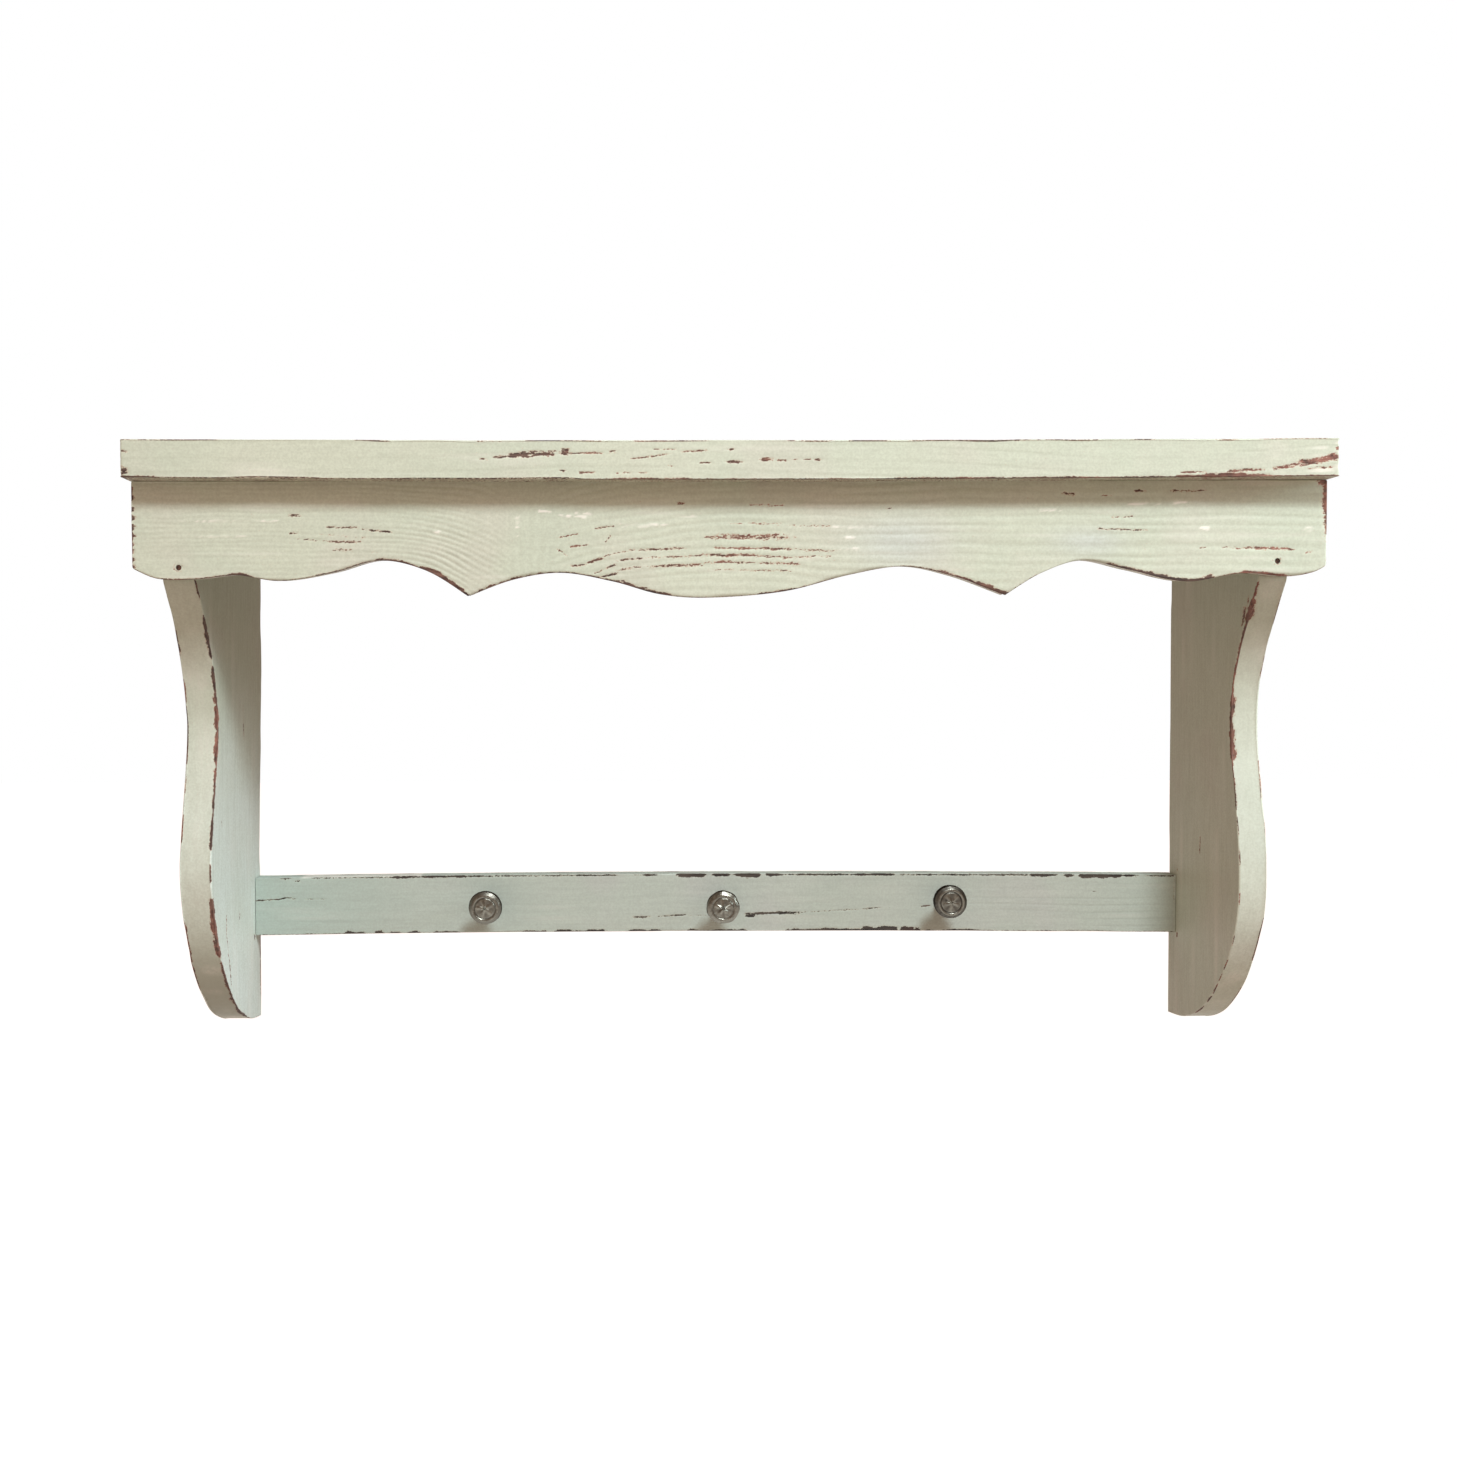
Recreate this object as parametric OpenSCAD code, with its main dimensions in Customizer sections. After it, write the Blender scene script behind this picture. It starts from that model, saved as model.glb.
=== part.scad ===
// Wall shelf with two scroll brackets, a scalloped front apron and a rail with three knobs.
// The wall is the plane y = 0 and the shelf's front faces -Y.
// The origin is on the wall, midway between the two hanging holes.

/* [Shelf board] */
// Length of the shelf board along the wall
shelf_w = 620; // [560:5:700]
// Depth of the shelf board from the wall to its front edge
shelf_d = 136; // [130:1:150]
// Thickness of the shelf board
shelf_t = 19.5; // [15:0.5:22]

/* [Front apron] */
// How far the shelf board stands out in front of the apron
apron_setback = 12; // [8:1:16]
// How far each end of the apron stops short of the shelf board's end
apron_end_gap = 1; // [0:0.5:5]
// Thickness of the apron
apron_t = 12; // [9:0.5:15]
// Height of the apron at its lowest curve
apron_h = 60.5; // [56:0.5:70]

/* [Brackets] */
// Clear distance between the two brackets
inner_w = 560; // [500:5:600]
// Thickness of the left bracket board
left_bracket_t = 17.5; // [15:0.5:20]
// Thickness of the right bracket board
right_bracket_t = 15.5; // [15:0.5:20]
// Height of a bracket below the shelf board
bracket_h = 309.5; // [300:0.5:330]

/* [Peg rail] */
// Thickness of the rail
rail_t = 11; // [10:0.5:14]
// Height of the rail
rail_h = 35.5; // [32:0.5:42]
// Distance from the shelf's top to the rail's top edge
rail_drop = 241; // [225:0.5:245]

/* [Knobs] */
// Diameter of a knob's head
knob_d = 19.8; // [17:0.1:24]
// How far a knob stands out from the rail
knob_reach = 24; // [21:0.5:28]
// Diameter of a knob's neck, where a loop hangs
neck_d = 9.4; // [8:0.1:11]

/* [Hanging plates] */
// Distance from the shelf's top down to the hanging holes
hang_drop = 48; // [44:1:60]
// Distance from a bracket's inner face to its keyhole plate's centre
fix_inset = 8; // [7.5:0.25:9]
// Width of a keyhole plate
plate_w = 11; // [10.5:0.25:11.5]
// Height of a keyhole plate
plate_h = 40; // [38:1:44]
// Thickness of a keyhole plate
plate_t = 1.5; // [1.2:0.1:2]
// Diameter of the round entry of the keyhole
entry_d = 8.2; // [8:0.1:8.6]
// Width of the slot that the wall screw's shank slides up
slot_w = 4.4; // [4.2:0.1:4.8]

/* [Hidden] */

$fn = 48;
// Overlap of a cutting tool past the face it cuts
cut = 1;
left = -1;
right = 1;

paint_color = [0.85, 0.86, 0.77];
rail_color = [0.72, 0.76, 0.69];
pewter_color = [0.42, 0.40, 0.36];
steel_color = [0.62, 0.62, 0.60];
nail_color = [0.22, 0.16, 0.13];

// Heights and depths that several parts share
top_z = hang_drop;
under_z = top_z - shelf_t;
apron_front = -(shelf_d - apron_setback);
apron_back = apron_front + apron_t;
bracket_d = -apron_back;
rail_top = top_z - rail_drop;
rail_mid = rail_top - rail_h / 2;

// The apron's lower edge, as [along, down] for an apron 618 wide and 60.5 high.
// It is cut by hand, so its two halves differ a little, and the two tips are sharp.
apron_edge_left = [
    [-309, 45], [-296, 50.3], [-276, 50.5], [-255, 48.5], [-233, 51.5], [-206, 47.3],
    [-181, 41], [-157, 46.5], [-136, 59.5]
];
apron_edge_middle = [
    [-136, 59.5], [-113, 51], [-88, 47.5], [-61, 52], [-36, 58.8], [-10, 60.5],
    [28, 57.3], [62, 48.8], [90, 44.5], [116, 49.5], [143, 59.5]
];
apron_edge_right = [
    [143, 59.5], [161, 48.3], [183, 41.5], [208, 46.5], [237, 52.5], [266, 48.3],
    [289, 50], [302, 48], [309, 44.5]
];

// Each bracket's front edge, as [out from the wall, down from the shelf board],
// for a bracket 112 deep and 309.5 high: a neck, a belly and a rounded foot.
// They are cut by hand too, and the left foot is a little slimmer.
bracket_edges = [
    [
        [112, 50.5], [99.5, 69.5], [88, 92.5], [81, 116.5], [80, 134.5], [84.5, 162.5],
        [91, 193.5], [91, 217.5], [82, 247.5], [66, 273.5], [45, 294], [22, 305.5], [0, 309.5]
    ],
    [
        [112, 50.5], [101, 68.5], [89.5, 88.5], [82.5, 112.5], [82.3, 140.5], [87.5, 166.5],
        [92.5, 198.5], [92, 227.5], [84, 251.5], [67.5, 276.5], [45, 296.5], [22, 306.5], [0, 309.5]
    ]
];

// Where things sit along the shelf
knob_x = [-138.5, 2.5, 137.5];
knob_z = [rail_mid + 1.3, rail_mid + 1, rail_mid + 3.9];
pin_x = [-150, 0, 150];
bracket_out = [inner_w / 2 + left_bracket_t, inner_w / 2 + right_bracket_t];
fix_x = [-(inner_w / 2 + fix_inset), inner_w / 2 + fix_inset];

// Wood screws that hold the shelf board down on the brackets
shelf_screw_y = [-30, -88];
shelf_screw_r = 2;
shelf_screw_head_r = 4;
shelf_screw_head_h = 2.4;
shelf_screw_l = 45;

// Nails that hold the apron against the brackets' front edges
nail_r = 1.1;
nail_head_r = 1.5;
nail_head_h = 1.2;
nail_l = 38;
nail_set = 0.8;
apron_nail_x = [-285, 284.5];
apron_nail_z = [top_z - 64, top_z - 61.5];

// Pins through the shelf board into the apron's top edge
pin_r = 0.8;
pin_head_r = 1.2;
pin_head_h = 1;
pin_l = 36;

// Nails through each bracket into the rail's end
rail_nail_l = 42;
rail_nail_z = [rail_mid + 9, rail_mid - 9];

// Machine screw and washer behind each knob, sunk in the rail's back
bolt_r = 2;
bolt_hole_r = 2.25;
bolt_head_r = 3.9;
bolt_head_h = 2.3;
bolt_in_knob = 10;
sink_r = 5;
sink_h = 3.6;
washer_r = 4.5;
washer_hole_r = 2.15;
washer_t = 0.8;
bolt_seat = -sink_h + washer_t;

// Keyhole plates: slot above the entry, a screw near each end
slot_rise = 8;
plate_screw_z = [15.5, -15.5];
plate_screw_r = 1.4;
plate_screw_head_r = 2.6;
plate_screw_l = 18;
pocket_w = 9.4;
pocket_d = 8;
pocket_low = -5.5;
pocket_high = slot_rise + 4.5;

// One point of the smooth curve through b and c, at the share t of the way
function curve_point(a, b, c, d, t) =
    0.5 * (2 * b + (c - a) * t + (2 * a - 5 * b + 4 * c - d) * t * t
    + (3 * b - a - 3 * c + d) * t * t * t);

// Smooth curve through the points p, with n steps between neighbours.
// It stops one step short of the last point, where the next curve starts.
function curve(p, n = 5) =
    [for (i = [0:len(p) - 2], k = [0:n - 1])
        curve_point(p[max(i - 1, 0)], p[i], p[i + 1], p[min(i + 2, len(p) - 1)], k / n)];

// The last point of a list
function last(p) = p[len(p) - 1];

// Turns [out, up] outlines into a board that stands across the wall, from x0 to x0 + t
module side_board(x0, t) {
    translate([x0, 0, 0]) rotate([90, 0, 90]) linear_extrude(t) children();
}

// Turns [along, up] outlines into a board facing front, from y0 towards the front by t
module front_board(y0, t) {
    translate([0, y0, 0]) rotate([90, 0, 0]) linear_extrude(t) children();
}

// Round bar or hole towards the front (-Y) from the plane y0
module bar_front(x, y0, z, r, l) {
    translate([x, y0, z]) rotate([90, 0, 0]) cylinder(r = r, h = l);
}

// Nail lying along +Z with its head at the bottom, at z = 0
module nail_up(r, l, head_r, head_h) {
    cylinder(r = head_r, h = head_h);
    translate([0, 0, head_h]) cylinder(r = r, h = l - head_h);
}

// Countersunk screw lying along +Z with its head at the bottom, at z = 0
module wood_screw_up(r, l, head_r, head_h) {
    cylinder(r1 = head_r, r2 = r, h = head_h);
    translate([0, 0, head_h]) cylinder(r = r, h = l - head_h);
}

// The fasteners, each where it lies. The wood is cut with the same shapes.
module shelf_screw_pair(x) {
    for (y = shelf_screw_y) translate([x, y, top_z]) mirror([0, 0, 1])
        wood_screw_up(shelf_screw_r, shelf_screw_l, shelf_screw_head_r, shelf_screw_head_h);
}

module apron_pin_row() {
    for (x = pin_x) translate([x, apron_front + apron_t / 2, top_z - nail_set]) mirror([0, 0, 1])
        nail_up(pin_r, pin_l, pin_head_r, pin_head_h);
}

module apron_nail(i) {
    translate([apron_nail_x[i], apron_front + nail_set, apron_nail_z[i]]) rotate([-90, 0, 0])
        nail_up(nail_r, nail_l, nail_head_r, nail_head_h);
}

module rail_nail_pair(side, out) {
    for (z = rail_nail_z) translate([side * (out - nail_set), -rail_t / 2, z])
        rotate([0, -side * 90, 0]) nail_up(nail_r, rail_nail_l, nail_head_r, nail_head_h);
}

module plate_screw_pair(x) {
    for (z = plate_screw_z) translate([x, 0, z]) rotate([90, 0, 0])
        wood_screw_up(plate_screw_r, plate_screw_l, plate_screw_head_r, plate_t);
}

// The open mouths of the holes in which nail heads are set
module apron_nail_mouth(i) {
    bar_front(apron_nail_x[i], apron_front + nail_set, apron_nail_z[i], nail_head_r, nail_set + cut);
}

module rail_nail_mouths(side, out) {
    for (z = rail_nail_z) translate([side * (out - nail_set), -rail_t / 2, z])
        rotate([0, side * 90, 0]) cylinder(r = nail_head_r, h = nail_set + cut);
}

module shelf_board() {
    color(paint_color) difference() {
        translate([-shelf_w / 2, -shelf_d, under_z]) cube([shelf_w, shelf_d, shelf_t]);
        for (x = fix_x) shelf_screw_pair(x);
        apron_pin_row();
        for (x = pin_x) translate([x, apron_front + apron_t / 2, top_z - nail_set])
            cylinder(r = pin_head_r, h = nail_set + cut);
    }
}

module front_apron() {
    half = shelf_w / 2 - apron_end_gap;
    edge = concat(curve(apron_edge_left), curve(apron_edge_middle), curve(apron_edge_right),
        [last(apron_edge_right)]);
    outline = [for (p = edge) [p[0] * half / 309, under_z - p[1] * apron_h / 60.5]];
    color(paint_color) difference() {
        front_board(apron_back, apron_t)
            polygon(concat([[half, under_z], [-half, under_z]], outline));
        for (i = [0, 1]) {
            apron_nail(i);
            apron_nail_mouth(i);
        }
        apron_pin_row();
    }
}

// Side view of a bracket, as [y, z], with the given front edge
module bracket_side(points) {
    edge = [for (p = concat(curve(points), [last(points)]))
        [-p[0] * bracket_d / 112, under_z - p[1] * bracket_h / 309.5]];
    polygon(concat([[0, under_z], [-bracket_d, under_z]], edge));
}

// Rebate for the keyhole plate, and the pocket behind it for the wall screw's head
module plate_recess(x) {
    translate([x - plate_w / 2, -plate_t, -plate_h / 2]) cube([plate_w, plate_t + cut, plate_h]);
    translate([x - pocket_w / 2, -plate_t - pocket_d, pocket_low])
        cube([pocket_w, pocket_d + cut, pocket_high - pocket_low]);
}

module bracket(side, t, i) {
    out = bracket_out[i];
    color(paint_color) difference() {
        side_board(side == left ? -out : inner_w / 2, t) bracket_side(bracket_edges[i]);
        plate_recess(fix_x[i]);
        plate_screw_pair(fix_x[i]);
        shelf_screw_pair(fix_x[i]);
        apron_nail(i);
        rail_nail_pair(side, out);
        rail_nail_mouths(side, out);
    }
}

module peg_rail() {
    color(rail_color) difference() {
        translate([-inner_w / 2, -rail_t, rail_top - rail_h]) cube([inner_w, rail_t, rail_h]);
        for (i = [0:2]) {
            bar_front(knob_x[i], cut, knob_z[i], bolt_hole_r, rail_t + 2 * cut);
            bar_front(knob_x[i], cut, knob_z[i], sink_r, sink_h + cut);
        }
        rail_nail_pair(left, bracket_out[0]);
        rail_nail_pair(right, bracket_out[1]);
    }
}

// Turned knob: foot, waisted neck, head with a rounded rim, a raised ring and a shallow cone
module knob(i) {
    rim = knob_d / 2;
    neck = neck_d / 2;
    head = knob_reach - 8;
    color(pewter_color) translate([knob_x[i], -rail_t, knob_z[i]]) rotate([90, 0, 0]) difference() {
        rotate_extrude() polygon([
            [0, 0], [neck + 1.6, 0], [neck + 1.6, 1.2], [neck + 0.5, 2.2], [neck, 4],
            [neck, head - 3], [neck + 0.7, head - 1.2], [rim - 2, head], [rim - 0.4, head + 1],
            [rim, head + 2.4], [rim - 0.3, head + 3.8], [rim - 1.2, head + 5.2],
            [rim - 2.4, head + 6], [rim - 3.3, head + 5.8], [rim - 3.8, head + 5],
            [rim - 4.3, head + 5], [rim - 4.6, head + 5.8], [0, knob_reach]
        ]);
        translate([0, 0, -cut]) cylinder(r = bolt_r, h = bolt_in_knob + 2 * cut);
    }
}

module knob_screw(i) {
    color(steel_color) {
        bar_front(knob_x[i], bolt_seat, knob_z[i], bolt_r, rail_t + bolt_seat + bolt_in_knob);
        bar_front(knob_x[i], bolt_seat + bolt_head_h, knob_z[i], bolt_head_r, bolt_head_h);
    }
}

module knob_washer(i) {
    color(steel_color) difference() {
        bar_front(knob_x[i], bolt_seat, knob_z[i], washer_r, washer_t);
        bar_front(knob_x[i], cut, knob_z[i], washer_hole_r, sink_h + 2 * cut);
    }
}

// Keyhole plate let in flush with the wall face of a bracket
module keyhole_plate(x) {
    color(steel_color) difference() {
        translate([x - plate_w / 2, -plate_t, -plate_h / 2]) cube([plate_w, plate_t, plate_h]);
        bar_front(x, cut, 0, entry_d / 2, plate_t + 2 * cut);
        bar_front(x, cut, slot_rise, slot_w / 2, plate_t + 2 * cut);
        translate([x - slot_w / 2, -plate_t - cut, 0]) cube([slot_w, plate_t + 2 * cut, slot_rise]);
        plate_screw_pair(x);
    }
}

module left_bracket() { bracket(left, left_bracket_t, 0); }
module right_bracket() { bracket(right, right_bracket_t, 1); }
module plate_screws(i) { color(steel_color) plate_screw_pair(fix_x[i]); }
module shelf_screws(i) { color(steel_color) shelf_screw_pair(fix_x[i]); }
module set_nail(i) { color(nail_color) apron_nail(i); }
module apron_pins() { color(nail_color) apron_pin_row(); }
module rail_nails(side, i) { color(nail_color) rail_nail_pair(side, bracket_out[i]); }

shelf_board();
front_apron();
left_bracket();
right_bracket();
peg_rail();
knob(0);  // knob_left
knob(1);  // knob_middle
knob(2);  // knob_right
knob_screw(0);  // knob_screw_left
knob_screw(1);  // knob_screw_middle
knob_screw(2);  // knob_screw_right
knob_washer(0);  // knob_washer_left
knob_washer(1);  // knob_washer_middle
knob_washer(2);  // knob_washer_right
keyhole_plate(fix_x[0]);  // keyhole_plate_left
keyhole_plate(fix_x[1]);  // keyhole_plate_right
plate_screws(0);  // plate_screws_left
plate_screws(1);  // plate_screws_right
shelf_screws(0);  // shelf_screws_left
shelf_screws(1);  // shelf_screws_right
set_nail(0);  // apron_nail_left
set_nail(1);  // apron_nail_right
apron_pins();
rail_nails(left, 0);  // rail_nails_left
rail_nails(right, 1);  // rail_nails_right
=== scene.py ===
import math

import bpy
import numpy as np
from mathutils import Matrix, Vector


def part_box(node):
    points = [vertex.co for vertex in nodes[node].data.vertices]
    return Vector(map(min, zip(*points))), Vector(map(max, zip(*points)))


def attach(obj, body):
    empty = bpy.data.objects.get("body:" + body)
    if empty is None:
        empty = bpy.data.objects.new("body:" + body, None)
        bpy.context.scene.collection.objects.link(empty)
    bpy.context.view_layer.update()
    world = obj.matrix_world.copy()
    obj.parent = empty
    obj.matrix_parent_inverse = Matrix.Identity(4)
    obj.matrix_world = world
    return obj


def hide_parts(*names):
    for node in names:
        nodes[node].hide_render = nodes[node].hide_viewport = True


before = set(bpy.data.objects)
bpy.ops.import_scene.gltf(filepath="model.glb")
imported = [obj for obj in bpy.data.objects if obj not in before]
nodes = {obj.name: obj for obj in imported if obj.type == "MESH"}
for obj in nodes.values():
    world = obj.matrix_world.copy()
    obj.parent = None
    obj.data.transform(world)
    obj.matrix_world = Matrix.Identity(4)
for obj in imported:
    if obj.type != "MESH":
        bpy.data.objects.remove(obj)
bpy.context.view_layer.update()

# Lengths in this script are millimetres unless a name says otherwise.
# The wall is y = 0, the shelf faces -Y, and the origin is midway between the hanging holes.
MM = 0.001

# ---------------------------------------------------------------- sizes of the CAD parts


def corners(node):
    """Lowest and highest corner of a CAD node, in mm."""
    low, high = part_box(node)
    return np.array(low) / MM, np.array(high) / MM


shelf_low, shelf_high = corners("shelf_board")
apron_low, apron_high = corners("front_apron")
rail_low, rail_high = corners("peg_rail")
bracket_boxes = {side: corners(side + "_bracket") for side in ("left", "right")}

under_z = shelf_low[2]
top_z = shelf_high[2]

# The apron's lower edge, as (along, down from the shelf board)
APRON_EDGE = [
    [(-309, 45), (-296, 50.3), (-276, 50.5), (-255, 48.5), (-233, 51.5), (-206, 47.3),
     (-181, 41), (-157, 46.5), (-136, 59.5)],
    [(-136, 59.5), (-113, 51), (-88, 47.5), (-61, 52), (-36, 58.8), (-10, 60.5),
     (28, 57.3), (62, 48.8), (90, 44.5), (116, 49.5), (143, 59.5)],
    [(143, 59.5), (161, 48.3), (183, 41.5), (208, 46.5), (237, 52.5), (266, 48.3),
     (289, 50), (302, 48), (309, 44.5)],
]

# The brackets' front edges, as (out from the wall, down from the shelf board)
BRACKET_EDGE = {
    "left": [(112, 50.5), (99.5, 69.5), (88, 92.5), (81, 116.5), (80, 134.5), (84.5, 162.5), (91, 193.5),
             (91, 217.5), (82, 247.5), (66, 273.5), (45, 294), (22, 305.5), (0, 309.5)],
    "right": [(112, 50.5), (101, 68.5), (89.5, 88.5), (82.5, 112.5), (82.3, 140.5), (87.5, 166.5),
              (92.5, 198.5), (92, 227.5), (84, 251.5), (67.5, 276.5), (45, 296.5), (22, 306.5), (0, 309.5)],
}
BRACKET_FOOT = 10  # the point of a bracket's edge where its foot turns towards the wall

# How far the brackets reach from the wall at the top, and half the apron's length
BRACKET_REACH = BRACKET_EDGE["left"][0][0]
APRON_HALF = APRON_EDGE[-1][-1][0]

# Where the wood is open for the fasteners and fittings
PIN_X = (-150, 0, 150)
PIN_Y = -118
PIN_R = 1.2
NAIL_XZ = ((-285, -16), (284.5, -13.5))
NAIL_R = 1.5
NAIL_SET = 0.82  # from the surface to just above a set nail or pin
FIX_X = {"left": -288, "right": 288}  # the keyhole plates and the shelf's screws
SCREW_Y = (-30, -88)
SCREW_R = 4.15
SCREW_SET = 2.4
PLATE = (11, 1.5, 40)  # width, depth and height of a plate's rebate
POCKET = (9.4, 8, -5.5, 12.5)  # width, depth, bottom and top of the pocket behind a plate
SINK_R = 5  # the counterbores behind the knobs
SINK_H = 3.6
RAIL_NAIL_Z = (-201.75, -219.75)
RAIL_NAIL_Y = -5.5
OVER = 2  # how far a cutter sticks out of the wood

# ---------------------------------------------------------------- noise and curves


def hashed(i, j, k, seed):
    """A repeatable number from 0 to 1 for each whole-numbered place."""
    n = i * 374761393 + j * 668265263 + k * 1274126177 + seed * 974634777
    n = (n ^ (n >> 13)) * 1274126177
    n = n & 0xFFFFFFFF
    n = n ^ (n >> 16)
    return (n & 0xFFFF) / 65535.0


def noise(p, size, seed):
    """Smooth noise from -1 to 1 at the points p, with lumps of the given size along each axis."""
    q = p / np.array(size, float)
    base = np.floor(q).astype(np.int64)
    t = q - base
    t = t * t * (3 - 2 * t)
    total = np.zeros(len(p))
    for i in (0, 1):
        for j in (0, 1):
            for k in (0, 1):
                weight = (t[:, 0] if i else 1 - t[:, 0]) * (t[:, 1] if j else 1 - t[:, 1])
                weight = weight * (t[:, 2] if k else 1 - t[:, 2])
                total += weight * hashed(base[:, 0] + i, base[:, 1] + j, base[:, 2] + k, seed)
    return total * 2 - 1


def step(low, high, x):
    """0 below low, 1 above high, and smooth between."""
    t = np.clip((x - low) / (high - low), 0, 1)
    return t * t * (3 - 2 * t)


def smooth_curve(points, n):
    """A smooth curve through the points, with n steps between neighbours."""
    p = np.array(points, float)
    out = []
    for i in range(len(p) - 1):
        a, b, c, d = p[max(i - 1, 0)], p[i], p[i + 1], p[min(i + 2, len(p) - 1)]
        for t in np.arange(n) / n:
            out.append(0.5 * (2 * b + (c - a) * t + (2 * a - 5 * b + 4 * c - d) * t * t
                              + (3 * b - a - 3 * c + d) * t ** 3))
    out.append(p[-1])
    return np.array(out)


def along(curve, share):
    """Points at the given shares of a curve's length."""
    length = np.concatenate([[0], np.cumsum(np.linalg.norm(np.diff(curve, axis=0), axis=1))])
    at = share * length[-1]
    return np.interp(at, length, curve[:, 0]), np.interp(at, length, curve[:, 1])


def lines(length, pitch):
    """Places of grid lines from 0 to 1 across a length, closer together beside both ends."""
    fine = np.array([0, 0.1, 0.3, 0.6, 1.0, 1.5])
    band = fine[-1]
    n = max(int((length - 2 * band) / pitch), 2)
    middle = np.linspace(band, length - band, n + 1)[1:-1]
    return np.concatenate([fine, middle, length - fine[::-1]]) / length


def rounded(a, b, half, tall, r):
    """Rounds the corners of a rectangle from -half to half and from 0 to tall."""
    qa = np.clip(a, r - half, half - r)
    qb = np.clip(b, r, tall - r)
    da, db = a - qa, b - qb
    most = np.maximum(np.abs(da), np.abs(db))
    size = np.maximum(np.hypot(da, db), 1e-9)
    return qa + da * most / size, qb + db * most / size


# ---------------------------------------------------------------- worn paint


def dashes(a, b, marks, seed):
    """Rows of broken chips in the paint on a flat face, above 0.5 where the paint is gone.

    Each mark is (from, to, height at from, height at to, thickness, share of it that is bare).
    """
    field = np.zeros(len(a))
    flat = np.stack([a, b, np.zeros(len(a))], 1)
    gaps = 0.6 * noise(flat, (3.5, 2.5, 1), seed) + 0.4 * noise(flat, (1.3, 0.9, 1), seed + 1)
    ragged = noise(flat, (2.4, 0.7, 1), seed + 2)
    for start, end, low, high, thick, bare in marks:
        share = (a - start) / (end - start)
        off = (b - low - (high - low) * share) / (0.55 * thick)
        ends = np.abs(share - 0.5) * 2
        value = 1 - 0.5 * off ** 2 - 0.5 * ends ** 6
        value = value + 0.45 * ragged - 0.9 * np.clip(gaps + 1 - 2.2 * bare, 0, 2)
        field = np.maximum(field, np.clip(value, 0, 1) * (0.42 + 0.48 * bare))
    return field


def stripes(phase, edge):
    """1 where phase is whole, falling to 0 at the given share of the way to the half between."""
    return 1 - step(0.0, edge, np.abs(phase - np.round(phase)) * 2)


def scuffs(p, long, short, seed, share, start):
    """Small worn spots from two sizes of noise, above 0.5 where the paint is gone."""
    value = noise(p, long, seed) + share * noise(p, short, seed + 1)
    return np.clip(value * 1.4 - start, 0, 1)


def strips(place, parts):
    """Width of the bare line along an arris; parts are (from, to, width)."""
    width = np.zeros(len(place))
    for start, end, wide in parts:
        inside = step(start - 1.5, start + 1.5, place) * (1 - step(end - 1.5, end + 1.5, place))
        width = np.maximum(width, wide * inside)
    return width


def arris_wear(dist, width):
    """0.5 where the bare line along an arris ends, more inside it."""
    return np.clip(0.5 + (width - dist) * 0.9, 0, 1) * (width > 0.05)


# ---------------------------------------------------------------- boards

FAR = 99  # stands for the distance to an arris that a face doesn't have


def link(name, data):
    """A new object in the scene, with the given mesh, lamp or camera."""
    made = bpy.data.objects.new(name, data)
    bpy.context.scene.collection.objects.link(made)
    return made


def skin(name, points, faces, fields):
    """A new mesh object from points in mm, with a value for each point under each name in fields."""
    data = bpy.data.meshes.new(name)
    data.from_pydata((points * MM).tolist(), [], faces)
    for key, values in fields.items():
        layer = data.attributes.new(key, "FLOAT", "POINT")
        layer.data.foreach_set("value", values.astype(np.float32))
    data.validate()
    return link(name, data)


def finish(piece, material, node, crease):
    """Shades a piece, gives it its material and puts it in the place of its CAD node."""
    data = piece.data
    data.shade_smooth()
    data.set_sharp_from_angle(angle=math.radians(crease))
    data.materials.clear()
    data.materials.append(material)
    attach(piece, "root")
    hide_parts(node)


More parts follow.
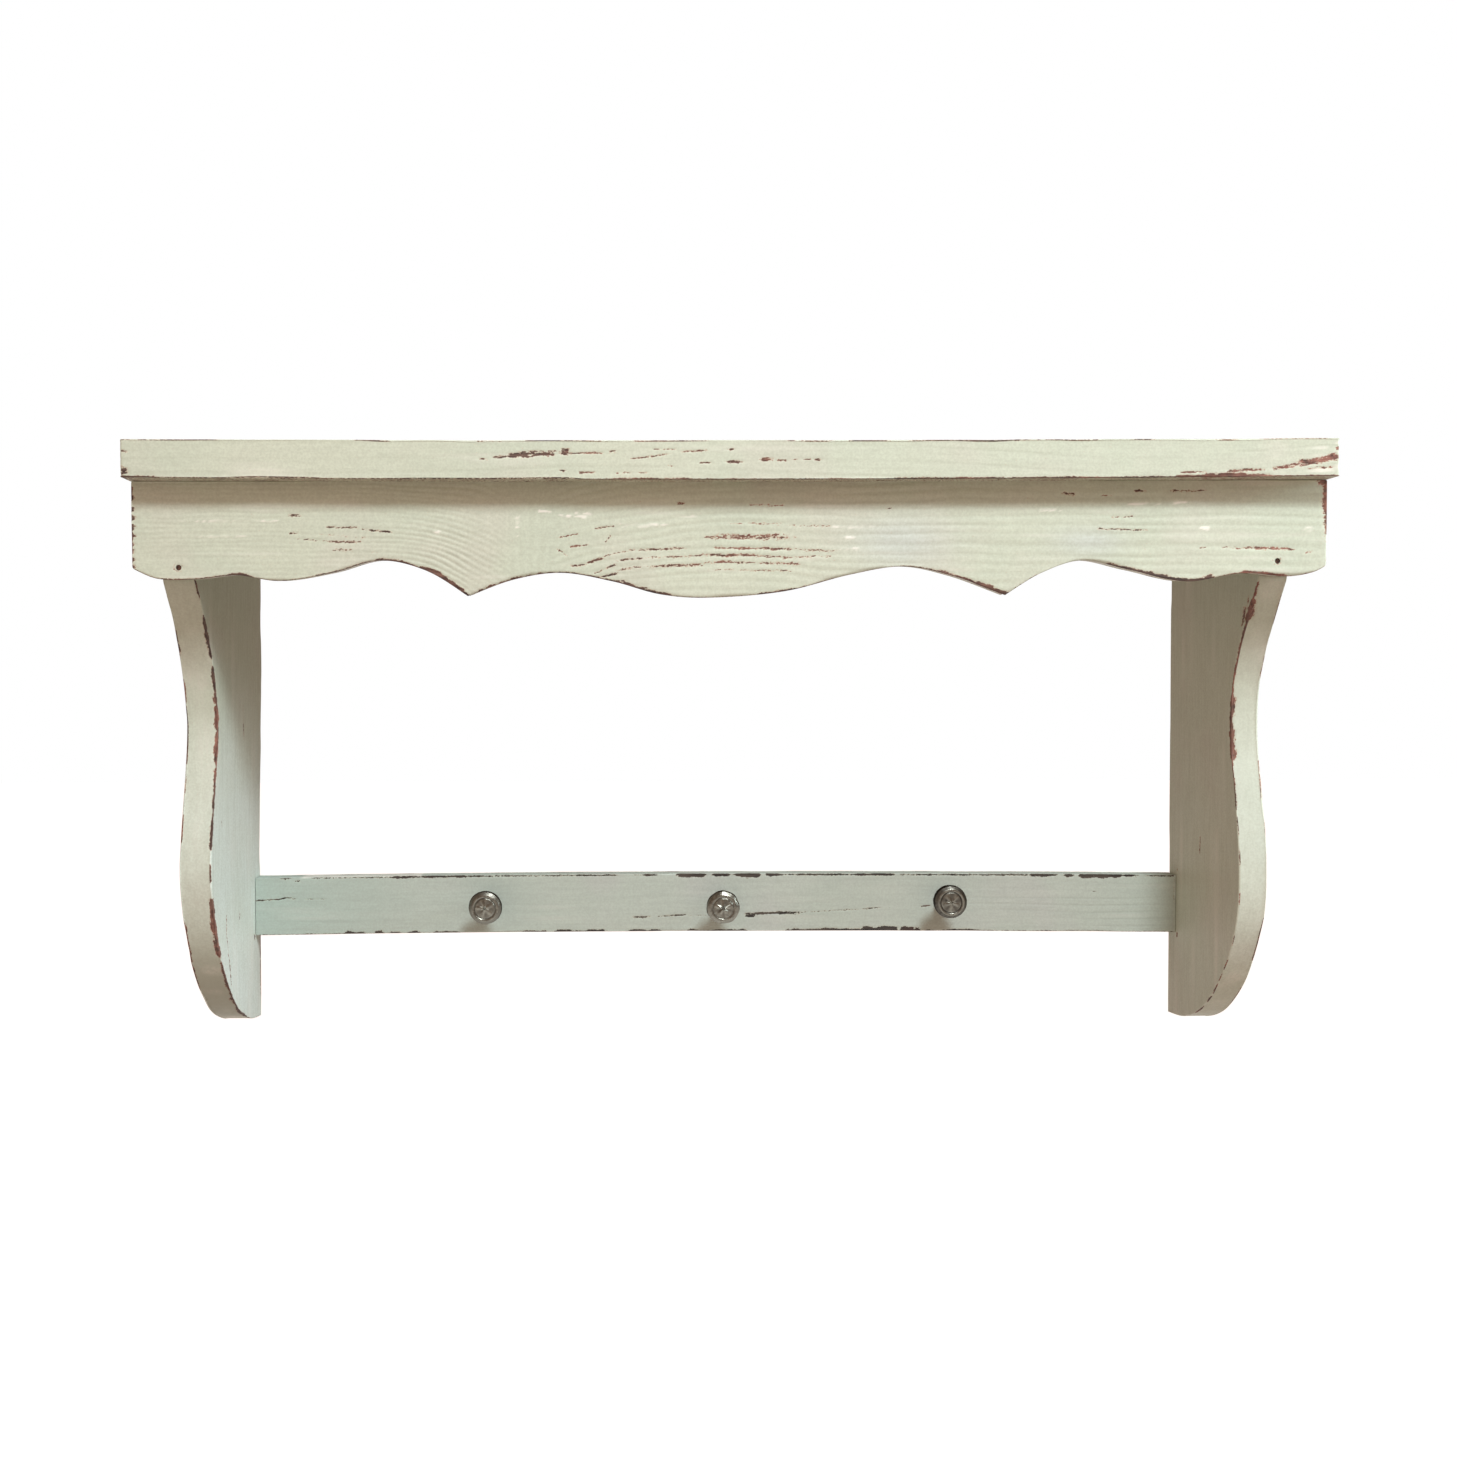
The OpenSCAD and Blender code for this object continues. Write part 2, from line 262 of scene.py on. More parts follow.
class Board:
    """A board's skin: a front and a back face on one grid, and the rim between them."""

    def __init__(self, patch, u, v, thick, pitch, place, radius):
        uu, vv = np.meshgrid(u, v, indexing="ij")
        a, b = patch(uu.ravel(), vv.ravel())
        nu, nv = len(u), len(v)
        ga, gb = a.reshape(nu, nv), b.reshape(nu, nv)

        def gap(ra, rb):
            return np.hypot(ga - ra, gb - rb)

        inset = np.minimum(
            np.minimum(gap(ga[:, :1], gb[:, :1]), gap(ga[:, -1:], gb[:, -1:])),
            np.minimum(gap(ga[:1], gb[:1]), gap(ga[-1:], gb[-1:]))).ravel()
        index = np.arange(nu * nv).reshape(nu, nv)
        loop = np.concatenate([index[:, 0], index[-1, 1:], index[-2::-1, -1], index[0, -2:0:-1]])
        la, lb = a[loop], b[loop]
        ta = np.roll(la, -1) - np.roll(la, 1)
        tb = np.roll(lb, -1) - np.roll(lb, 1)
        size = np.hypot(ta, tb)
        out_a, out_b = tb / size, -ta / size

        def round_over(r):
            return r - np.sqrt(np.maximum(r ** 2 - np.maximum(r - inset, 0) ** 2, 0))

        zero = np.zeros(len(a))
        r_front = radius(place(a, b, zero), 0)
        r_back = radius(place(a, b, zero + thick), 1)
        rows = lines(thick, pitch)[1:-1]
        c_front = round_over(r_front)
        c_back = thick - round_over(r_back)
        rim_c = c_front[loop] + np.outer(rows, c_back[loop] - c_front[loop])
        m = len(loop)
        self.a = np.concatenate([a, a, np.tile(la, len(rows))])
        self.b = np.concatenate([b, b, np.tile(lb, len(rows))])
        self.c = np.concatenate([c_front, c_back, rim_c.ravel()])
        self.side = np.repeat([0, 1, 2], [len(a), len(a), m * len(rows)])
        self.out_a = np.concatenate([zero, zero, np.tile(out_a, len(rows))])
        self.out_b = np.concatenate([zero, zero, np.tile(out_b, len(rows))])
        self.inset = np.concatenate([inset, inset, np.zeros(m * len(rows))])
        self.place = place
        self.faces = self._faces(index, loop, len(rows))
        self.points = place(self.a, self.b, self.c)
        front = np.where(self.side == 0, self.inset, self.c)
        back = np.where(self.side == 1, self.inset, thick - self.c)
        self.to_front = np.where(self.side == 1, FAR, front)
        self.to_back = np.where(self.side == 0, FAR, back)

    def _faces(self, index, loop, n_rows):
        n = index.size
        p, q, r, s = index[:-1, :-1], index[1:, :-1], index[1:, 1:], index[:-1, 1:]
        front = np.stack([p, q, r, s], -1).reshape(-1, 4)
        back = front[:, ::-1] + n
        ring = [loop]
        for k in range(n_rows):
            ring.append(2 * n + k * len(loop) + np.arange(len(loop)))
        ring.append(loop + n)
        ring = np.array(ring)
        turned = np.roll(ring, -1, 1)
        rim = np.stack([ring[:-1], ring[1:], turned[1:], turned[:-1]], -1).reshape(-1, 4)
        return np.concatenate([front, back, rim])

    def press(self, depth):
        """Moves the skin inwards by depth, which fades out at the arrises of the faces."""
        fade = step(0.0, 0.9, np.minimum(self.to_front, self.to_back))
        fade = np.where(self.side == 2, fade, step(0.0, 0.9, self.inset))
        depth = depth * fade
        c = self.c + np.where(self.side == 0, depth, np.where(self.side == 1, -depth, 0))
        a = self.a - self.out_a * depth
        b = self.b - self.out_b * depth
        self.points = self.place(a, b, c)

    def finish(self, node, fields, cutters, paint, slot):
        """Makes the mesh, cuts it with each group of cutters and finishes it."""
        piece = skin(node + "_painted", self.points, self.faces.tolist(), fields)
        for group in cutters:
            carve(piece, group)
        finish(piece, paint, node, 48)


def box_mesh(low, high):
    """Corners and faces of a box."""
    verts = []
    for k in range(8):
        verts.append([high[n] if (k >> n) & 1 else low[n] for n in range(3)])
    return verts, [(0, 2, 3, 1), (4, 5, 7, 6), (0, 1, 5, 4), (2, 6, 7, 3), (0, 4, 6, 2), (1, 3, 7, 5)]


def rod_mesh(start, end, radius, sides=24):
    """Corners and faces of a cylinder between two points."""
    start, end = Vector(start), Vector(end)
    turn = (end - start).to_track_quat("Z", "Y")
    verts = []
    for centre in (start, end):
        for k in range(sides):
            angle = 2 * math.pi * k / sides
            verts.append(centre + turn @ Vector((radius * math.cos(angle), radius * math.sin(angle), 0)))
    faces = []
    for k in range(sides):
        n = (k + 1) % sides
        faces.append((k, n, sides + n, sides + k))
    faces.append(tuple(reversed(range(sides))))
    faces.append(tuple(range(sides, 2 * sides)))
    return verts, faces


def solid(name, pieces):
    """One closed cutting mesh from boxes (low, high) and cylinders (end, end, radius)."""
    verts, faces = [], []
    for item in pieces:
        more_verts, more_faces = box_mesh(*item) if len(item) == 2 else rod_mesh(*item)
        faces += [tuple(len(verts) + k for k in face) for face in more_faces]
        verts += more_verts
    data = bpy.data.meshes.new(name)
    data.from_pydata([tuple(c * MM for c in v) for v in verts], [], faces)
    return link(name, data)


def carve(piece, cutters):
    """Cuts holes and recesses out of a board, and removes the cutting solid."""
    tool = solid("cutter", cutters)
    change = piece.modifiers.new("cut", "BOOLEAN")
    change.operation = "DIFFERENCE"
    change.solver = "MANIFOLD"
    change.object = tool
    graph = bpy.context.evaluated_depsgraph_get()
    data = bpy.data.meshes.new_from_object(piece.evaluated_get(graph))
    piece.modifiers.clear()
    piece.data = data
    bpy.data.objects.remove(tool)


# ---------------------------------------------------------------- the shelf board

SHELF_MARKS = [
    (-128, -124.5, 38.6, 38.4, 1.1, 0.95), (-121, -114, 39.4, 39.8, 1.4, 0.9),
    (-114, -101, 40.2, 40.6, 2.0, 1.0), (-104, -90, 41.0, 40.8, 1.9, 0.95),
    (-108, -88, 42.2, 42.4, 1.1, 0.6), (-87, -83, 42.3, 42.3, 2.8, 1.0),
    (-87, -65, 41.4, 41.7, 0.9, 0.9), (-61.5, -59.5, 42.3, 42.3, 1.3, 1.0),
    (-53, -31, 38.4, 41.2, 0.9, 0.85), (-27, -12, 42.4, 42.8, 0.9, 0.75),
    (-40, -28, 43.4, 43.4, 0.7, 0.5), (-2, 0.5, 43.2, 43.2, 0.9, 0.8),
    (-17, -11, 36.7, 36.9, 0.8, 0.7), (-3, 5, 37.2, 37.4, 1.2, 0.85),
    (14, 21, 38.3, 38.7, 1.7, 0.9), (23, 28.5, 38.0, 38.0, 0.9, 0.8),
    (30.5, 34, 38.3, 38.3, 0.8, 0.8), (37, 40, 38.3, 38.3, 0.8, 0.8),
    (42, 45, 38.2, 38.2, 0.9, 0.9), (-88, -84, 32.9, 32.9, 0.8, 0.8),
    (-78, -70, 32.1, 31.9, 0.9, 0.85), (-59.5, -57, 32.0, 32.0, 1.1, 1.0),
    (-55.5, -51, 32.0, 32.0, 0.8, 0.9), (-48, -42, 32.0, 32.0, 0.8, 0.7),
    (-33, -29, 35.6, 34.6, 0.8, 0.6), (-310, -306.5, 32.4, 31.8, 4.2, 1.0),
    (-310, -306.5, 42.0, 41.4, 1.3, 0.95), (228, 243, 31.0, 31.4, 1.0, 0.6),
    (252, 272, 31.6, 32.4, 1.4, 0.65), (275, 291, 32.6, 34.6, 1.8, 0.8),
    (288, 301, 35.4, 36.6, 3.0, 0.95), (299, 310, 36.6, 38.8, 3.2, 0.97),
    (293, 310, 32.5, 33.5, 1.4, 0.3), (307.5, 310, 42.6, 42.8, 1.4, 0.8),
]
SHELF_TOP_ARRIS = [
    (-167, -116, 0.5), (-70, -55, 0.3), (-35, -9, 0.5), (117, 129, 0.8), (142, 157, 0.8),
    (163, 175, 0.7), (-205, -190, 0.4), (205, 235, 0.3), (40, 60, 0.3), (262, 290, 0.35),
]
SHELF_LOW_ARRIS = [
    (-310, -292, 1.0), (-292, -80, 0.2), (-80, 310, 0.45), (-60, -20, 0.7), (77, 180, 0.75), (180, 225, 0.7),
    (225, 276, 1.2), (240, 262, 1.7), (276, 310, 0.7),
]


def shelf_grain(board):
    """Brushed grooves: 1 in a groove and 0 beside it."""
    p = board.points
    x, y, z = p.T
    rim = board.side == 2
    bend = 9 * noise(p, (190, 90, 400), 11) + 2.2 * noise(p, (55, 22, 60), 12)
    arc = 7 * np.exp(-((x - 205) / 75) ** 2) - 4 * np.exp(-((x + 60) / 90) ** 2)
    phase = np.where(rim, (z + 0.3 * bend + arc) / 7.5, (y + bend) / 5.6)
    strong = step(-0.5, 0.5, noise(p, (70, 9, 9), 13))
    return stripes(phase, 0.34) * (0.3 + 0.7 * strong) * np.where(rim, 0.9, 1.0)


def shelf_chips(board, front):
    """Bare wood: its marks, its arrises, its lip, its front left corner and scuffs elsewhere."""
    p = board.points
    x, y, z = p.T
    width, depth, _ = shelf_high - shelf_low
    ragged = 0.35 * noise(p, (2.6, 2.6, 1.2), 22) + 0.3 * noise(p, (9, 9, 9), 23)
    broken = 0.7 * step(-0.25, 0.5, noise(p, (14, 14, 30), 24)) * (0.5 + ragged)
    top_width = np.where(front, strips(x, SHELF_TOP_ARRIS) + ragged - 0.15, broken)
    low_width = strips(x, SHELF_LOW_ARRIS) * (1 + ragged) + 0.1 * ragged
    low_width = np.where(y < 6 - depth, low_width, broken)
    lip = (board.side == 1) & (y < 13 - depth)
    corner = np.hypot(np.abs(x) - width / 2, z - shelf_low[2])
    return np.maximum.reduce([
        np.where(front, dashes(x, z, SHELF_MARKS, 21), scuffs(p, (26, 4, 4), (5, 0.9, 0.9), 25, 0.6, 0.85)),
        arris_wear(board.to_front, top_width),
        arris_wear(board.to_back, low_width),
        lip * (0.44 + 0.25 * ragged),
        np.clip(1.0 - corner / 3.2 + 0.3 * ragged, 0, 1) * (y < 4 - depth) * (x < 0),
    ])


def make_shelf(paint):
    width, depth, thick = shelf_high - shelf_low

    def patch(u, v):
        """Along and outwards, with the four corners a little rounded."""
        return rounded((u - 0.5) * width, v * depth, width / 2, depth, 1.3)

    def place(a, b, c):
        return np.stack([a, -b, top_z - c], 1)

    def radius(p, face):
        return 0.45 + 0.75 * step(-0.2, 0.9, noise(p, (22, 22, 30), 3 + face))

    board = Board(patch, lines(width, 1.7), lines(depth, 2.0), thick, 0.5, place, radius)
    p = board.points
    x, y = p[:, 0], p[:, 1]
    front = (board.side == 2) & (board.out_b > 0.6)
    grain_and_groove_shade = shelf_grain(board)
    chip = shelf_chips(board, front)
    rub_and_highlight = step(0.35, 0.95, noise(p, (60, 5, 4), 27)) * 0.35
    rub_and_highlight = np.maximum(rub_and_highlight, 0.8 * step(270, 300, x) * front * step(0.1, 0.6, noise(p, (12, 3, 2.4), 28)))
    red = step(0.0, 0.7, noise(p, (30, 20, 20), 29)) * 0.5 + 0.5 * step(215, 240, x)
    depth_in = np.where(front, 0.06, 0.14) * grain_and_groove_shade + 0.22 * step(0.4, 0.62, chip)
    board.press(depth_in + 0.16 * (1 + noise(p, (38, 38, 38), 30)))
    # The board hangs down a little in the middle, and its front lip is thickest there.
    middle = np.clip(1 - (x / 300) ** 2, 0, 1)
    upper = np.clip(1 - board.c / thick, 0, 1)
    board.points[:, 2] -= middle * (0.8 * upper + 1.4 * (1 - upper) * step(3, 9, -y - 118))
    cuts = [((pin, PIN_Y, top_z - NAIL_SET), (pin, PIN_Y, top_z + OVER), PIN_R) for pin in PIN_X]
    for fix in FIX_X.values():
        for screw_y in SCREW_Y:
            cuts.append(((fix, screw_y, top_z - SCREW_SET), (fix, screw_y, top_z + OVER), SCREW_R))
    fields = {"chip": chip, "rub_and_highlight": rub_and_highlight, "grain_and_groove_shade": grain_and_groove_shade, "red": red, "cool": np.zeros(len(x))}
    board.finish("shelf_board", fields, [cuts], paint, "painted_wood")


# ---------------------------------------------------------------- the front apron

KNOT_X = -107
APRON_MARKS = [
    (-228, -222, 11, 10.6, 1.6, 0.55), (-209, -192, 4.7, 4.4, 0.9, 0.7),
    (-191, -175, 3.6, 2.0, 1.0, 0.7), (-228, -223, 1.6, 1.6, 0.7, 0.5),
    (-213, -184, 1.2, -1.2, 0.7, 0.45), (-225, -207, -1.4, -2.4, 0.6, 0.5),
    (-208, -190, -2.8, -3.2, 1.0, 0.8), (-207, -195, -6.8, -7.2, 0.9, 0.55),
    (-186, -183, -8.3, -8.3, 0.8, 0.7), (-90, -84, -6.5, -10.5, 0.8, 0.75),
    (-89, -78, -0.8, 1.2, 0.8, 0.6), (-83, -73, -5.8, -4.2, 1.1, 0.7),
    (-71, -60, 3.6, 5.0, 1.0, 0.6), (-65, -61.5, -3.6, 0.6, 1.6, 0.6),
    (-84, -74, -15.4, -15.0, 1.1, 0.75), (-76, -65, -14.8, -10.8, 1.5, 0.85),
    (-66, -53, -10.6, -7.6, 0.9, 0.75), (-53, -22, -7.4, -6.4, 1.0, 0.6),
    (-70, -59, -19.2, -14.6, 1.1, 0.7), (-59, -45, -12.8, -11.4, 1.0, 0.7),
    (-45, -21, -11.3, -10.6, 0.9, 0.65), (-68, -58, -21.6, -19.2, 1.1, 0.75),
    (-60, -50, -18.2, -16.4, 0.9, 0.65), (-52, -15, -16.2, -15.4, 0.9, 0.6),
    (-63, -54, -23.6, -23.0, 0.9, 0.6), (-52, -42, -26.6, -27.0, 1.0, 0.75),
    (-42, -31, -29.4, -29.8, 1.1, 0.8), (-13, 33, -0.4, -0.6, 3.0, 0.55),
    (-10, 34, -6.2, -7.0, 1.1, 0.85), (34, 56, -7.2, -7.8, 0.9, 0.6),
    (-22, -15, -10.4, -10.2, 0.9, 0.6), (-15, 14, -9.9, -10.1, 1.3, 0.92),
    (14, 33, -10.5, -11.4, 1.1, 0.8), (33, 53, -11.2, -10.6, 0.8, 0.55),
    (-36, -15, -15.3, -14.6, 1.0, 0.7), (-15, 14, -13.7, -13.6, 1.2, 0.9),
    (14, 38, -14.0, -14.6, 1.0, 0.75), (-11, 32, -17.6, -18.0, 0.8, 0.5),
    (-2, 28, 6.4, 6.2, 0.8, 0.5), (30, 51, 5.2, 4.8, 0.8, 0.5),
    (189, 216, 3.4, 2.6, 1.0, 0.5), (197, 214, 9.4, 9.9, 1.1, 0.45),
    (243, 247, -6.6, -6.6, 0.8, 0.6), (256, 265, -6.1, -7.2, 0.9, 0.55),
    (266, 293, -6.4, -7.4, 1.5, 0.75), (299, 302, -8.8, -9.0, 1.0, 0.7),
    (-27, -24, 16.7, 16.7, 1.0, 0.8), (10, 28, 15.8, 15.6, 0.9, 0.5),
    (81, 84, 14.1, 14.1, 0.8, 0.7), (153, 155, 19.4, 19.4, 0.8, 0.7),
    (172, 180, 21.8, 20.8, 1.4, 0.6), (192, 199, 20.6, 20.4, 0.9, 0.5),
    (209, 217, 23.0, 22.8, 1.0, 0.6), (226, 247, 22.8, 23.2, 0.9, 0.75),
]
APRON_LOW_ARRIS = [
    (-309, -262, 0.4), (-260, -247, 1.2), (-247, -215, 0.3), (-215, -186, 0.5), (-184, -160, 1.2),
    (-160, -136, 2.2), (-131, -128, 0.7), (-126, -122, 0.8), (-120, -117, 0.7), (-117, -108, 0.9),
    (-106, -103, 0.8), (-100, -97, 0.8), (-95, -91, 0.8), (-89, -66, 0.6),
    (-66, -56, 0.8), (-56, -31, 1.2), (-31, 14, 0.2), (14, 40, 0.9), (40, 56, 0.4), (56, 88, 0.12),
    (88, 108, 0.6), (108, 127, 1.2), (127, 144, 1.9), (146, 160, 0.3), (196, 217, 1.0),
    (217, 251, 1.7), (254, 266, 0.4), (266, 290, 1.5), (290, 309, 0.4),
]
APRON_END_DOTS = (20, 14, 9.5, 5, 0.5, -4, -7.5, -12, -15.5)
# Paler blots on the apron, as (along, up, half width, half height): partly rubbed paint, partly painted
# highlight on the ridges.
APRON_RUBS_AND_HIGHLIGHTS = [
    (-110, 6, 1.5, 6), (-97, 13, 4, 2), (-80, 10.5, 9, 1.8), (-45, 5.5, 15, 1.2),
    (-268, 8, 14, 0.7), (-240, 8, 9, 0.6), (-152, 2, 2.4, 1.4), (62, 4.4, 12, 0.9), (62, -1, 3, 1.2),
    (63, -7, 5, 1.0), (246, 3.5, 3, 1.6), (300, 2.5, 2.4, 2.2), (212, 16, 10, 1.6), (232, 17, 7, 1.4),
    (-260, 0, 16, 0.5), (165, 13, 8, 0.8), (-20, 10, 8, 0.7),
]


def apron_drop():
    """Along and down for the apron's whole lower edge."""
    runs = [smooth_curve(run, 10)[:-1] for run in APRON_EDGE]
    return np.concatenate(runs + [np.array([APRON_EDGE[-1][-1]], float)])


def apron_grain(p):
    """Grooves that dip under a knot, soft upright grooves inside it, and the knot itself, 0 to 1."""
    x, z = p[:, 0], p[:, 2]
    near = np.exp(-np.abs(x - KNOT_X) / 24)
    dip = 26 * near * np.where(x < KNOT_X, 1.0, 0.85)
    waves = 1.9 * noise(p, (60, 50, 40), 41) + 1.0 * noise(p, (24, 50, 9), 42)
    hump = 2.0 * np.exp(-((x - 5) / 48) ** 2)
    height = z + dip + waves - hump
    left_lines = (height - 12) / (2.6 + 0.9 * np.exp(-((x - KNOT_X + 18) / 20) ** 2))
    right_lines = height / (4.1 + 1.0 * step(-60, 200, x))
    phase = np.where(x < KNOT_X, left_lines, right_lines) + 0.25 * noise(p, (150, 50, 9), 43)
    knot = np.exp(-((x - KNOT_X - 3) / 13) ** 4)
    steep = np.exp(-((x - KNOT_X + 32) / 22) ** 2)
    strong = 0.15 + 0.4 * step(-0.5, 0.5, noise(p, (42, 50, 6), 44)) + 0.4 * steep
    strong = (strong + 0.15 * step(-90, 0, x)) * (1 - 0.35 * (1 - step(-220, -150, x)))
    groove = stripes(phase, 0.8) * strong * (1 - knot)
    upright = (x + 1.6 * noise(p, (14, 50, 20), 45)) / 5.2
    soft = (1 - np.abs(upright - np.round(upright)) * 2) * knot * 0.45
    return groove, soft, knot


def apron_chips(board, ragged, lower, under):
    """Bare wood: its marks, its arrises, round its nails, at its two ends and on its back."""
    p = board.points
    x, y, z = p.T
    face = board.side == 0
    beside = y - apron_low[1]
    width = strips(x, APRON_LOW_ARRIS) * (1 + 0.8 * ragged)
    elsewhere = 0.6 * step(-0.1, 0.5, noise(p, (12, 30, 12), 64)) + 0.3 * ragged
    front_width = np.where(z > 26, 0, np.where(lower, width, elsewhere))
    back_width = 0.6 * step(-0.2, 0.5, noise(p, (16, 30, 16), 65)) + 0.3 * ragged
    right_end = (APRON_HALF - x) + np.where(z > 13, 0, 0.9)
    near_front = 1 - step(1.5, 5.5, beside + 2.5 * ragged)
    end_corner = np.hypot(x - APRON_HALF + 1, (z - 27) * 1.5)
    parts = [
        np.where(face, dashes(x, z, APRON_MARKS, 61), 0),
        arris_wear(board.to_front * np.where(under, 0.3, 1.0), front_width),
        arris_wear(board.to_back, back_width),
        np.clip(1.0 - right_end / 2.6 + 0.4 * ragged, 0, 1) * near_front * step(-8, 6, z),
        np.clip(1.2 - end_corner / 4 + 0.4 * ragged, 0, 1) * face,
        np.where(board.side == 1, scuffs(p, (24, 20, 3), (4.5, 9, 0.8), 66, 0.7, 0.9), 0),
    ]
    for nail_x, nail_z in NAIL_XZ:
        reach = np.hypot(x - nail_x, (z - nail_z) * 1.1)
        parts.append(np.clip(1.35 - reach / 2.3 + 0.35 * ragged, 0, 1) * face)
    for dot in APRON_END_DOTS:
        reach = np.hypot(x + APRON_HALF, (z - dot) * 1.1) + 0.5 * np.abs(beside)
        parts.append(np.clip(1.45 - reach / 1.6 + 0.25 * ragged, 0, 1))
    return np.maximum.reduce(parts)


def apron_rub_and_highlight(p, groove, knot, under):
    """Paler paint: faint rubbed patches, placed blots on the ridges that are partly rubbed paint and partly
    painted highlight, and painted light on the scallops' sawn edge, which faces down into shade.
    """
    x, z = p[:, 0], p[:, 2]
    speckle = 1.3 * noise(p, (1.9, 9, 0.9), 68)
    # Painted light: the sawn edge under the scallops is made paler, though it faces down into shade.
    rub_and_highlight = np.maximum(0.22 * step(0.45, 0.9, noise(p, (40, 30, 3), 69)) * (1 - knot), 0.8 * under)
    # The placed blots are partly rubbed paint and partly painted highlight on the ridges.
    for rx, rz, wide, tall in APRON_RUBS_AND_HIGHLIGHTS:
        blot = 1 - ((x - rx) / wide) ** 2 - ((z - rz) / tall) ** 2 + speckle
        rub_and_highlight = np.maximum(rub_and_highlight, step(0.2, 1.0, blot) * (1 - 0.8 * groove))
    return rub_and_highlight


def apron_columns():
    """Grid lines along the apron: close together at the knot, and one at each sharp tip."""
    columns = lines(2 * APRON_HALF, 1.7)
    between = (columns[1:] + columns[:-1]) / 2
    at_knot = np.abs((between - 0.5) * 2 * APRON_HALF - KNOT_X) < 50
    tips = [(run[0][0] + APRON_HALF) / (2 * APRON_HALF) for run in APRON_EDGE[1:]]
    return np.unique(np.concatenate([columns, between[at_knot], tips]))


def make_apron(paint):
    low, high = apron_low, apron_high
    thick = high[1] - low[1]
    edge = apron_drop()

    def patch(u, v):
        """Along and up; the top is straight and the bottom follows the scallops."""
        a = (u * 2 - 1) * APRON_HALF
        drop = np.interp(a, edge[:, 0], edge[:, 1])
        a, height = rounded(a, drop * v, APRON_HALF, drop, 0.9)
        return a + 0.9 * step(265, APRON_HALF, a), under_z - drop + height

    def place(a, b, c):
        """The scallops are sawn a little undercut: the edge is higher at its back."""
        height = b - under_z + np.interp(a, edge[:, 0], edge[:, 1])
        return np.stack([a, low[1] + c, b + 0.9 * c / thick * np.exp(-np.maximum(height, 0) / 6)], 1)

    def radius(p, face):
        worn = step(-0.2, 0.8, noise(p, (18, 30, 30), 51 + face))
        below = 1 - step(-6, 6, p[:, 2])
        return 0.5 + worn * (0.3 + 0.8 * below) + 0.4 * below

    board = Board(patch, apron_columns(), lines(51, 0.62), thick, 0.7, place, radius)
    p = board.points
    x, y, z = p.T
    lower = z < -8
    under = (board.side == 2) & lower
    groove, soft, knot = apron_grain(p)
    ragged = 0.6 * noise(p, (3.2, 3, 1.3), 62) + 0.4 * noise(p, (9, 9, 9), 63)
    chip = apron_chips(board, ragged, lower, under)
    rub_and_highlight = apron_rub_and_highlight(p, groove, knot, under)
    red = np.maximum.reduce([
        step(0.0, 0.6, noise(p, (40, 30, 12), 70)) * 0.35,
        np.exp(-((x - 10) / 55) ** 2) * 0.55 * step(-22, -14, z),
        step(240, 270, x) * 0.8,
    ])
    cool = np.maximum(0.9 * np.exp(-((x - 88) / 24) ** 2 - ((z + 3) / 12) ** 2),
                      0.7 * np.exp(-((x - 186) / 16) ** 2 - ((z + 3) / 7) ** 2))
    depth_in = 0.26 * groove + 0.2 * soft + 0.22 * step(0.4, 0.62, chip)
    depth_in = depth_in + 0.14 * (1 + noise(p, (45, 45, 25), 71)) - 0.08 * rub_and_highlight
    saw = 0.22 * np.abs(np.sin(x * 1.9 + 0.8 * y)) * under
    board.press(np.clip(depth_in + saw, 0, 1))
    fields = {"chip": chip, "rub_and_highlight": rub_and_highlight, "grain_and_groove_shade": groove + 0.35 * soft, "red": red, "cool": cool}
    cuts = [((nx, low[1] - OVER, nz), (nx, low[1] + NAIL_SET, nz), NAIL_R) for nx, nz in NAIL_XZ]
    board.finish("front_apron", fields, [cuts], paint, "painted_wood")


# ---------------------------------------------------------------- the brackets

# Bare lines along each bracket's inner front arris, as (from, to, width), measured down
BRACKET_ARRIS = {
    "left": [(50.5, 58.5, 0.9), (68.5, 90.5, 1.4), (95.5, 116.5, 1.6), (117.5, 148.5, 2.4),
             (150.5, 174.5, 1.3),
             (175.5, 194.5, 1.9), (203.5, 212.5, 0.8), (222.5, 256.5, 2.8), (260.5, 283.5, 1.5),
             (281.5, 310.5, 2.2)],
    "right": [(52.5, 60.5, 1.4), (60.5, 72.5, 2.6), (72.5, 112.5, 1.0), (112.5, 126.5, 2.4),
              (126.5, 148.5, 2.8), (148.5, 174.5, 0.7), (178.5, 188.5, 0.25), (197.5, 204.5, 0.2),
              (220.5, 226.5, 0.25), (244.5, 250.5, 0.2), (260.5, 266.5, 0.5), (269.5, 273.5, 0.7),
              (276.5, 282.5, 0.7), (285.5, 289.5, 0.8), (294.5, 299.5, 1.3), (304.5, 310.5, 1.3)],
}
BRACKET_OUTER_ARRIS = {
    "left": [(76.5, 88.5, 0.8), (102.5, 148.5, 0.7), (176.5, 190.5, 0.6), (236.5, 260.5, 0.9),
             (262.5, 278.5, 0.7)],
    "right": [(58.5, 73.5, 0.3), (90.5, 102.5, 0.25), (148.5, 168.5, 0.25), (234.5, 260.5, 0.5),
              (278.5, 290.5, 0.4)],
}
# Chips on each inner face, as marks along the bracket (down) and out from the wall
BRACKET_MARKS = {
    "left": [(178.5, 188.5, 74, 73, 0.7, 0.6), (234.5, 248.5, 66, 66, 0.9, 0.85),
             (248.5, 260.5, 65, 63, 0.7, 0.6), (259.5, 277.5, 62, 58, 1.1, 0.8),
             (236.5, 248.5, 42, 42, 0.8, 0.4), (257, 260, 12.4, 12.4, 1.6, 1.0),
             (258, 296, 0.8, 0.8, 1.6, 0.8), (116.5, 138.5, 36, 34, 1.4, 0.3)],
    "right": [(63.5, 74.5, 97, 94, 2.8, 0.8), (194.5, 206.5, 44, 43, 1.3, 0.6),
              (126.5, 134.5, 46, 45, 0.6, 0.4),
              (58.5, 68.5, 101, 99, 1.4, 0.6), (257, 261, 12.4, 12.4, 1.8, 1.0),
              (218, 221, 12, 12, 1.4, 0.9)],
}


